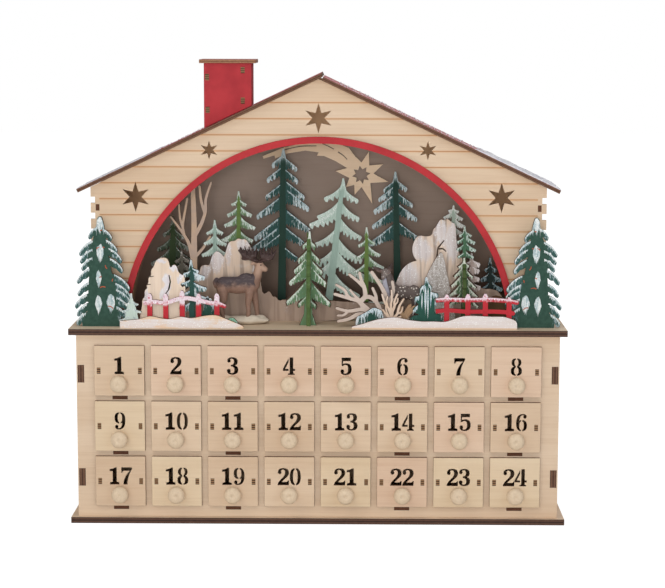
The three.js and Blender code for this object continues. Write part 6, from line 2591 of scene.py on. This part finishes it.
class CornerTree:
    """A big flat fir with a solid body, short snowy branch tips and painted snow patches."""

    MIDDLE = -173
    BODY = path(
        "0,88 -2,86.6 -3,80 -5,72 -8.4,62 -9.6,52 -9,43 -10,31 -10.2,17 -12,9 -15,0 15.4,0 15.8,8 "
        "14.6,17 11.4,31 9,43 6.6,56 4.4,72 3.4,80 1.6,87")
    LEFT = path(
        "-9.2,73.4 -16.5,59.8 -15.9,53.8 -14.9,48 -18.7,37.7 -18.2,27.7 -20.5,17.7 -19.1,11.3 -19.6,4.2")
    RIGHT = path("9.2,72 13.4,61.9 16.8,54.1 17.5,46.2 22.9,31.6 23.6,24.8 24,20 23.2,14.4 21.2,8.4")
    PATCHES = ((-0.1, 58.8, 2.9, 7.2), (-1.5, 38.4, 2.1, 6.6), (-1.9, 17.8, 2.7, 7.2), (8, 18.4, 3.2, 7.6))
    MARKS = ((0.9, 76.9, 1.6, 20), (2.6, 63.4, 1.4, -10), (4.6, 47.8, 3, 115), (0, 39.6, 1.8, 30),
             (1.6, 31.4, 4.2, 5), (7.7, 15.3, 4.4, -25), (-1.8, 62.8, 2.6, 35), (9.6, 37.2, 2, 80))

    def __init__(self, name: str, mirror: float, plane: float, stands_for: str) -> None:
        """Builds the tree.

        Args:
            name: Its name.
            mirror: 1 for the left tree, -1 for its mirror image on the right.
            plane: Its front face.
            stands_for: The frame piece that it replaces.
        """
        self.mirror = mirror
        rng = random.Random(71)
        tips = [*self.LEFT, *self.RIGHT]
        outlines = [smooth(self.BODY, 2), *(self.tip(point, rng) for point in tips)]
        mesh = above_deck(plate(name, [self.placed(loop) for loop in outlines], (), plane))
        snow = [icing(self.over(point)[2:], 2.2, 2.9, rng, 0.75) for point in tips]
        snow.extend(brushed(*patch, rng) for patch in self.PATCHES)
        snow.append(icing(path("-2.9,79 -2.3,85 -0.6,87.6 1,87.6 2.2,84.6 3.4,79.4"),
                          8, 8, rng, 0.7))
        snow.append(brushed(0, 80.4, 1.9, 5.6, rng))
        marks = [self.mark(*entry) for entry in self.MARKS]
        coat = plate("coat", [self.placed(loop) for loop in snow], (), plane - COAT_STAND_OUT, COAT_DEPTH)
        burns = plate("burns", [self.placed(loop) for loop in marks], (), plane - BURN_STAND_OUT, COAT_DEPTH)
        finish = CornerPaint(plane, middle=self.MIDDLE * mirror)
        frost = Frost(plane, light=srgb(234, 240, 240), dark=srgb(154, 182, 188), edge_light=SNOW,
                      edge_dark=SNOW)
        burnt = Painted(plane, paint=srgb(196, 92, 56), worn=srgb(140, 60, 40))
        materials = [part.make(f"{name}_{kind}") for part, kind in (
            (finish, "paint"), (frost, "frost"), (burnt, "burns"))]
        add(name, merged(name, [(mesh, 0), (coat, 1), (burns, 2)]), materials, "fir_paint",
            stands_for=[stands_for])

    def placed(self, loop: Loop) -> Loop:
        """Puts an outline that is given from the tree's middle and foot in its place."""
        return [((x + self.MIDDLE) * self.mirror, z + DECK) for x, z in loop]

    def half_body(self, z: float) -> float:
        """Gives about half the body's width at a height above the foot."""
        return max(2, 13 - z * 0.14)

    def over(self, point: Point) -> Loop:
        """Gives a short branch's top edge, from inside the body to its tip.

        Args:
            point: The branch's tip.

        Returns:
            The points.
        """
        way = 1 if point[0] > 0 else -1
        start = way * (self.half_body(point[1]) - 5)
        reach = abs(point[0] - start)
        root = (start, point[1] + reach * 0.6 + 0.6)
        return [root, *bow(root, (start + way * reach * 0.72, point[1] + reach * 0.46 + 1.2), point, 7)]

    def tip(self, point: Point, rng: random.Random) -> Loop:
        """Gives one short blunt branch that stands out of the body.

        Args:
            point: The branch's tip.
            rng: The source of the needles.

        Returns:
            The outline.
        """
        way = 1 if point[0] > 0 else -1
        over = self.over(point)
        start = over[0][0]
        reach = abs(point[0] - start)
        under = [(point[0] + way * 0.4, point[1] - 1.2), (point[0] + way * 0.2, point[1] - 2.6),
                 (point[0] - way * 0.7, point[1] - 3.8)]
        count = 3
        for index in range(count):
            tooth = rng.uniform(0.5, 1.4)
            for offset, low in path("0.1,-0.4 0.4,1 0.75,1"):
                share = (index + offset) / count
                x, z = between(over, 1 - share * 0.9)
                under.append((x - way * 1.2, z - 4 - 2.4 * share - low * tooth * 0.7))
        return [*over, *under, (start, point[1] + reach * 0.2)]

    def mark(self, x: float, z: float, length: float, turn: float) -> Loop:
        """Gives a small burnt mark.

        Args:
            x: Its middle, across.
            z: Its middle, up.
            length: Its length.
            turn: Its turn in degrees.

        Returns:
            The outline.
        """
        angle = math.radians(turn)
        way = (math.cos(angle) * length / 2, math.sin(angle) * length / 2)
        bend = (-way[1] * 0.3, way[0] * 0.3)
        return ribbon(smooth([(x - way[0], z - way[1]), (x + bend[0], z + bend[1]), (x + way[0], z + way[1])],
                             3, False), 0.42, 0.3)


@dataclass(frozen=True)
class CornerPaint(Plywood):
    """The corner trees' paint: a dark body that turns teal with pale strokes towards the branch tips.

    Attributes:
        middle: The tree's middle, across.
    """

    middle: float = 0.0

    def face(self, box: Paintbox) -> Surface:
        """Paints the tree.

        Args:
            box: The material.

        Returns:
            The painted face.
        """
        off = abs(box.x - self.middle)
        rise = box.z - DECK
        strokes = box.noise((0.9, 0.9, 0.2), 3, 0.65, 0.3)
        dabs = box.noise(0.28, 3, 0.6)
        edge = (13.6 - rise * 0.08).smaller((92 - rise) * 0.27)
        past = (off - edge + strokes * 4 - 2).ramp(0.2, 2.2)
        white = past * (strokes * 0.9 + dabs * 0.5).ramp(0.72, 0.9)
        green = box.mix(dabs.ramp(0.3, 0.75), srgb(38, 72, 60), srgb(50, 84, 72))
        teal = box.mix(past * 0.5, green, srgb(56, 100, 100))
        colour = box.mix(white * 0.8, teal, srgb(196, 210, 220))
        return Surface(colour, 0.7, white * 0.5 + strokes * 0.3)


# Figures

class Clay:
    """Balls and limbs that are melted into one closed skin."""

    def __init__(self, across: float, middle: float, way: float) -> None:
        """Starts a figure at a middle, facing right for a way of 1 and left for -1."""
        self.across, self.middle, self.way = across, middle, way
        self.bm = bmesh.new()

    def ball(self, x: float, y: float, z: float, rx: float, ry: float, rz: float, tilt: float = 0.0) -> None:
        """Adds a ball: x towards the head, y to the back, z above the deck.

        Args:
            x: Its middle, towards the head.
            y: Its middle, towards the back.
            z: Its middle, above the deck.
            rx: Its radius along the body.
            ry: Its radius across the body.
            rz: Its radius upwards.
            tilt: How far its front is raised, in degrees.
        """
        place = Matrix.Translation(Vector((self.across + self.way * x, self.middle + y, DECK + z)) * MM)
        turn = Matrix.Rotation(math.radians(-tilt * self.way), 4, "Y")
        size = Matrix.Diagonal((rx * MM, ry * MM, rz * MM, 1))
        bmesh.ops.create_icosphere(self.bm, subdivisions=2, radius=1.0, matrix=place @ turn @ size)

    def limb(self, *stops: tuple[float, float, float, float], flat: float = 1.0) -> None:
        """Adds a limb.

        Args:
            stops: Places along it, each with a radius.
            flat: Its radius across the body, as a share of the others.
        """
        for first, second in zip(stops, stops[1:]):
            length = math.dist(first[:3], second[:3])
            steps = max(1, round(length / (0.45 * min(first[3], second[3]))))
            for step in range(steps + 1):
                t = step / steps
                x, y, z, radius = (a + (b - a) * t for a, b in zip(first, second))
                self.ball(x, y, z, radius, radius * flat, radius)

    def melted(self, name: str, voxel: float, smoothing: int = 3) -> bpy.types.Mesh:
        """Joins everything into one closed, smoothed skin.

        Args:
            name: The mesh's name.
            voxel: The grid that the skin is taken from, in millimetres.
            smoothing: How often the skin is smoothed.

        Returns:
            The mesh.
        """
        carrier = carrier_of(mesh_from(self.bm, name))
        remesh = carrier.modifiers.new("remesh", "REMESH")
        remesh.mode, remesh.voxel_size, remesh.adaptivity = "VOXEL", voxel * MM, 0
        relax = carrier.modifiers.new("relax", "SMOOTH")
        relax.iterations, relax.factor = smoothing, 0.5
        return smoothed(baked(name, carrier))


class Figure:
    """A painted resin animal on its base."""

    def __init__(self, across: float, middle: float, way: float) -> None:
        """Keeps where the figure stands, and its way: 1 when it faces right, -1 left."""
        self.stand = (across, middle, way)

    def clay(self) -> Clay:
        """Starts one of the figure's parts."""
        return Clay(*self.stand)

    def show(self, name: str, mesh: bpy.types.Mesh, finish: Resin, stands_for: Sequence[str] = ()) -> None:
        """Adds a part of the figure."""
        add(name, mesh, [finish.make(f"{name}_resin")], "deer_resin", stands_for=stands_for)


class Stag(Figure):
    """The stag on its cream base, facing right."""

    def __init__(self) -> None:
        """Builds the stag."""
        super().__init__(-64, -19, 1)
        self.show("stag_body", self.body(), Resin(srgb(78, 67, 70), srgb(144, 113, 97), 187, 192),
                  ["stag_figure"])
        self.show("stag_head", self.head(), Resin(srgb(184, 152, 132), srgb(134, 104, 89), 194, 203))
        self.show("stag_antlers", self.antlers(), Resin(srgb(66, 48, 46), srgb(84, 62, 56), 200, 216))
        self.show("stag_base", self.base(),
                  Resin(srgb(214, 202, 184), srgb(192, 178, 158), 158, 163, gloss=0.6))
        self.show("stag_eyes", self.eyes(), Resin(srgb(20, 14, 12), srgb(20, 14, 12), 0, 1, gloss=0.15))

    def body(self) -> bpy.types.Mesh:
        """Shapes the body, legs and tail.

        Returns:
            The mesh.
        """
        clay = self.clay()
        clay.ball(-1, 0, 31.2, 12.5, 5.2, 7.2)
        clay.ball(-11.6, 0, 31, 7.4, 5.2, 7.4)
        clay.ball(9, 0, 31.2, 7.2, 5, 7.8, -18)
        clay.ball(6, 0, 37.4, 6.6, 3.4, 3.9)
        clay.limb((-13, 0, 33.2, 5), (-2, 0, 33.6, 4.8), (8, 0, 34.6, 4.8))
        clay.limb((9.6, 0, 33.4, 5), (12.4, 0, 37, 3.9), (14, 0, 40, 2.8))
        for side in (-1, 1):
            clay.limb((-13, side * 2.6, 28, 5), (-12.6, side * 3.4, 20, 3.4),
                      (-15, side * 3.6, 14.6, 2.2), (-13, side * 3.6, 7.4, 1.7), (-12.2, side * 3.6, 4.2, 2))
        clay.limb((9, -2.6, 26, 3.8), (7.6, -3.2, 17, 2.5), (8, -3.2, 10, 1.8), (7.4, -3.2, 5.4, 2.1))
        clay.limb((11.4, 2.6, 26, 3.8), (13.4, 3.2, 17, 2.5), (14.2, 3.2, 10, 1.8), (14.8, 3.2, 5.4, 2.1))
        clay.limb((-18, 0, 35.6, 1.9), (-19.6, 0, 33.4, 1.7), (-19.2, 0, 29.6, 0.9))
        return clay.melted("stag_body", 0.55)

    def head(self) -> bpy.types.Mesh:
        """Shapes the paler head, neck and ears.

        Returns:
            The mesh.
        """
        clay = self.clay()
        clay.limb((13.2, 0, 31, 3.9), (13.4, 0, 34.8, 4.4), (14.6, 0, 38.4, 4.1), (15.4, 0, 42, 3.7),
                  (16, 0, 45.6, 3.6), flat=0.95)
        clay.ball(16.3, 0, 47.4, 4.1, 3.3, 4.2)
        clay.limb((17.2, 0, 47.2, 3.1), (19.4, 0, 45.4, 2.6), (21.2, 0, 44.2, 2.3))
        for side in (-1, 1):
            clay.limb((14.4, side * 2.4, 48.8, 1.1), (11.8, side * 5.4, 49.6, 1.5),
                      (10.2, side * 6.8, 49, 0.7), flat=0.6)
        return clay.melted("stag_head", 0.5)

    def antlers(self) -> bpy.types.Mesh:
        """Shapes the two broad antlers with their points.

        Returns:
            The mesh.
        """
        clay = self.clay()
        for side in (-1, 1):
            clay.limb((15.8, side * 1.4, 50.4, 1.4), (13.4, side * 4.2, 51.8, 1.5),
                      (9.6, side * 6.4, 53.4, 1.5), (4.6, side * 7.6, 56, 1.4), (0.6, side * 8, 60.2, 0.7))
            clay.ball(8.6, side * 6.8, 55.2, 6.8, 1.1, 2.9, 16)
            for start, tip in path("4,1 6.4,4.4 9,7.8 11.4,11 13.8,14"):
                clay.limb((start, side * 7.2, 55.6, 1.2), (tip, side * 8.2, 61.6 - abs(tip - 6) * 0.1, 0.5))
            clay.limb((16.8, side * 1.6, 50.4, 1.4), (20, side * 3.6, 51.8, 1.3), (24, side * 5, 53, 1.4),
                      (27.6, side * 5.8, 55, 1.1), (30, side * 6, 59.4, 0.6))
            clay.ball(23, side * 4.8, 54.4, 5.6, 1.1, 2.6, -12)
            for start, tip in path("18.6,17.2 21,20.2 23.6,23.6 26,27"):
                clay.limb((start, side * 4.6, 54, 1.1), (tip, side * 5.8, 61.4 - abs(tip - 22) * 0.1, 0.5))
            clay.limb((17.4, side * 1.4, 50.2, 1.1), (21, side * 2.4, 51.6, 0.6))
        return clay.melted("stag_antlers", 0.4, 2)

    def base(self) -> bpy.types.Mesh:
        """Shapes the base with a low bump round each foot.

        Returns:
            The mesh.
        """
        clay = self.clay()
        clay.ball(2.4, 0, 2.8, 23, 8.4, 3.8)
        clay.ball(10, -2, 4.6, 7.4, 4.6, 3)
        clay.ball(-12.6, 0, 4.4, 7, 5.4, 2.8)
        clay.ball(16.6, 2, 4.2, 5.6, 4.4, 3)
        return above_deck(clay.melted("stag_base", 0.6))

    def eyes(self) -> bpy.types.Mesh:
        """Adds the eyes.

        Returns:
            The mesh.
        """
        clay = self.clay()
        for side in (-1, 1):
            clay.ball(17.9, side * 2.75, 47.9, 0.6, 0.45, 0.6)
        return mesh_from(clay.bm, "stag_eyes")


class Fawn(Figure):
    """The fawn with its spotted flank, facing left and looking to the front."""

    def __init__(self) -> None:
        """Builds the fawn."""
        super().__init__(68, -11, -1)
        self.show("fawn_body", self.body(), Resin(srgb(104, 92, 88), srgb(92, 78, 74), 168, 178, 2.4),
                  ["fawn_figure"])
        self.show("fawn_head", self.head(), Resin(srgb(122, 110, 106), srgb(160, 150, 148), 192, 200, 1.4))
        self.show("fawn_chest", self.chest(), Resin(srgb(206, 206, 220), srgb(188, 184, 198), 178, 192))
        self.show("fawn_ears", self.ears(), Resin(srgb(66, 50, 46), srgb(136, 112, 104), 199, 203))
        self.show("fawn_base", self.base(),
                  Resin(srgb(206, 192, 172), srgb(188, 172, 152), 158, 162, gloss=0.6))

    def body(self) -> bpy.types.Mesh:
        """Shapes the body and legs.

        Returns:
            The mesh.
        """
        clay = self.clay()
        clay.ball(0, 0, 24.4, 10, 4.6, 6.4)
        clay.ball(-9, 0, 24.2, 6.4, 4.6, 6.8)
        clay.ball(6.6, 0, 24.6, 5.8, 4.4, 6.8)
        clay.limb((7, 0.2, 26, 5.2), (10, 0.4, 31, 4.6), (12, 0.6, 37.4, 3.9))
        for side in (-1, 1):
            clay.limb((-9.6, side * 2.4, 21, 3.4), (-10, side * 2.8, 14, 2), (-11.4, side * 2.8, 9.6, 1.3),
                      (-10, side * 2.8, 3, 1.3))
            clay.limb((8, side * 2.4, 20.6, 2.8), (8 + side, side * 2.6, 12, 1.4),
                      (8.2 + side, side * 2.6, 3, 1.3))
        clay.limb((-14, 0, 26.4, 1.7), (-15.6, 0, 23.6, 1.1))
        return clay.melted("fawn_body", 0.5)

    def head(self) -> bpy.types.Mesh:
        """Shapes the grey head.

        Returns:
            The mesh.
        """
        clay = self.clay()
        clay.ball(13.6, -0.6, 40.6, 4.2, 3.6, 3.7)
        clay.limb((14.4, -1.8, 40, 2.8), (15.6, -3.8, 37.8, 2), (16, -4.8, 36.8, 1.6))
        return clay.melted("fawn_head", 0.45)

    def chest(self) -> bpy.types.Mesh:
        """Shapes the pale stripe down the throat.

        Returns:
            The mesh.
        """
        clay = self.clay()
        clay.limb((15, -2.4, 35.6, 2), (14.2, -3, 31, 2.2), (12.4, -3.4, 25.6, 2), (11.4, -3.2, 22.4, 1.2))
        return clay.melted("fawn_chest", 0.45)

    def ears(self) -> bpy.types.Mesh:
        """Shapes the ears, eyes and nose.

        Returns:
            The mesh.
        """
        clay = self.clay()
        clay.limb((11.6, -0.8, 42, 1.6), (10.2, -0.8, 44.6, 2.1), (8.8, -0.6, 48.2, 0.7), flat=0.55)
        clay.limb((16, -0.8, 42, 1.5), (19.6, -0.8, 43.2, 2), (24.2, -0.6, 45.6, 0.7), flat=0.55)
        for side in (-1, 1):
            clay.ball(14.2 + side * 2.4, -3.7, 40.8, 0.6, 0.5, 0.7)
        clay.ball(16.2, -6.1, 37.2, 0.9, 0.6, 0.6)
        return clay.melted("fawn_ears", 0.3, 1)

    def base(self) -> bpy.types.Mesh:
        """Shapes the base.

        Returns:
            The mesh.
        """
        clay = self.clay()
        clay.ball(0, 0, 1.8, 16.8, 6.3, 2.2)
        return above_deck(clay.melted("fawn_base", 0.6))


# Set

@dataclass(frozen=True)
class CameraSizes:
    """The camera's place in millimetres and its turn in radians."""

    place: tuple[float, float, float] = (29.35, -1541.6, 389)
    yaw: float = -0.0118
    pitch: float = 0.1352
    roll: float = 0.002
    lens: float = 103.39
    sensor: float = 36.0


class Stage:
    """The camera, the lights, the white surroundings and the floor."""

    def __init__(self) -> None:
        """Sets the stage."""
        self.scene = bpy.context.scene
        self.scene.view_settings.view_transform = "Standard"
        self.scene.view_settings.look = "None"

    def set_camera(self, sizes: CameraSizes = CameraSizes()) -> None:
        """Places the camera as the photo was taken.

        Args:
            sizes: Its place, turn and lens.
        """
        data = bpy.data.cameras.new("camera")
        data.lens, data.sensor_width, data.clip_start, data.clip_end = sizes.lens, sizes.sensor, 0.05, 50
        camera = bpy.data.objects.new("camera", data)
        self.scene.collection.objects.link(camera)
        forward = math.cos(sizes.pitch)
        ahead = Vector((math.sin(sizes.yaw) * forward, math.cos(sizes.yaw) * forward, -math.sin(sizes.pitch)))
        level = Vector((math.cos(sizes.yaw), -math.sin(sizes.yaw), 0))
        upward = level.cross(ahead)
        right = level * math.cos(sizes.roll) + upward * math.sin(sizes.roll)
        up = upward * math.cos(sizes.roll) - level * math.sin(sizes.roll)
        turn = Matrix((right, up, -ahead)).transposed().to_4x4()
        camera.matrix_world = Matrix.Translation(Vector(sizes.place) * MM) @ turn
        self.scene.camera = camera

    def set_lights(self) -> None:
        """Adds five soft lamps and the white surroundings."""
        for name, place, aim, size, power, colour in (
                ("key", (-0.9, -1.35, 1.5), 0.2, 1.3, 8, srgb(255, 250, 242)),
                ("front", (-0.2, -2.7, 0.36), 0.24, 1, 24, srgb(255, 252, 248)),
                ("top", (0, -0.5, 2.1), 0.2, 1.4, 4, srgb(255, 253, 250)),
                ("fill", (1.2, -1.3, 0.9), 0.18, 1.2, 4, srgb(244, 248, 255)),
                ("rear", (0.7, 2, 1.1), 0.2, 1.2, 10, srgb(255, 252, 248))):
            self.add_light(name, place, (0, 0, aim), size, power, colour)
        world = bpy.data.worlds.new("surroundings")
        world.use_nodes = True
        self.scene.world = world
        sheet = Sheet(world.node_tree)
        world.node_tree.nodes.clear()
        rays = sheet.node("ShaderNodeLightPath").outputs
        seen = sheet.wire("ShaderNodeMath", {"operation": "MAXIMUM"}, {
            0: rays["Is Camera Ray"], 1: rays["Is Transmission Ray"]})
        ambient = sheet.node("ShaderNodeBackground", {}, {0: srgb(250, 250, 252), 1: 0.36})
        backdrop = sheet.node("ShaderNodeBackground", {}, {0: WHITE, 1: 1})
        shaders = {0: seen, 1: ambient.outputs[0], 2: backdrop.outputs[0]}
        mixed = sheet.node("ShaderNodeMixShader", {}, shaders)
        sheet.node("ShaderNodeOutputWorld", {}, {"Surface": mixed.outputs[0]})

    def add_light(self, name: str, place: Direction, aim: Direction, size: float, power: float,
                  colour: Colour) -> None:
        """Adds a square area light.

        Args:
            name: Its name.
            place: Where it hangs, in metres.
            aim: Where it points.
            size: Its side.
            power: Its power in watts.
            colour: Its colour.
        """
        data = bpy.data.lights.new(name, "AREA")
        data.energy, data.size, data.color = power, size, colour
        light = bpy.data.objects.new(name, data)
        light.location = place
        way = Vector(aim) - Vector(place)
        light.rotation_euler = way.to_track_quat("-Z", "Y").to_euler()
        self.scene.collection.objects.link(light)

    def set_floor(self) -> None:
        """Adds a pale floor that fades into the white surroundings."""
        mesh = bpy.data.meshes.new("floor")
        mesh.from_pydata([(x, y, 0) for x, y in rectangle(-6, 6, -6, 6)], [], [(0, 1, 2, 3)])
        floor = bpy.data.objects.new("floor", mesh)
        self.scene.collection.objects.link(floor)
        material = bpy.data.materials.new("floor")
        material.use_nodes = True
        sheet = Sheet(material.node_tree)
        sheet.tree.nodes.clear()
        matt = sheet.node("ShaderNodeBsdfDiffuse", {}, {0: (0.9, 0.9, 0.9)})
        glow = sheet.node("ShaderNodeEmission", {}, {0: WHITE, 1: 1.42})
        camera = sheet.node("ShaderNodeLightPath").outputs["Is Camera Ray"]
        share = Wire(sheet, camera) * 0.66
        mixed = sheet.node("ShaderNodeMixShader", {}, {0: share, 1: matt.outputs[0], 2: glow.outputs[0]})
        sheet.node("ShaderNodeOutputMaterial", {}, {"Surface": mixed.outputs[0]})
        mesh.materials.append(material)


def main() -> None:
    """Builds the scene in order: the stage, the cabinet, the house, the forest and the figures."""
    logging.basicConfig(level=logging.INFO, format="%(name)s %(message)s")
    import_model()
    stage = Stage()
    stage.set_camera()
    stage.set_lights()
    stage.set_floor()
    Cabinet()
    Drawers()
    House()
    Chimney()
    Forest()
    Stag()
    Fawn()


if __name__ == "__main__":
    main()
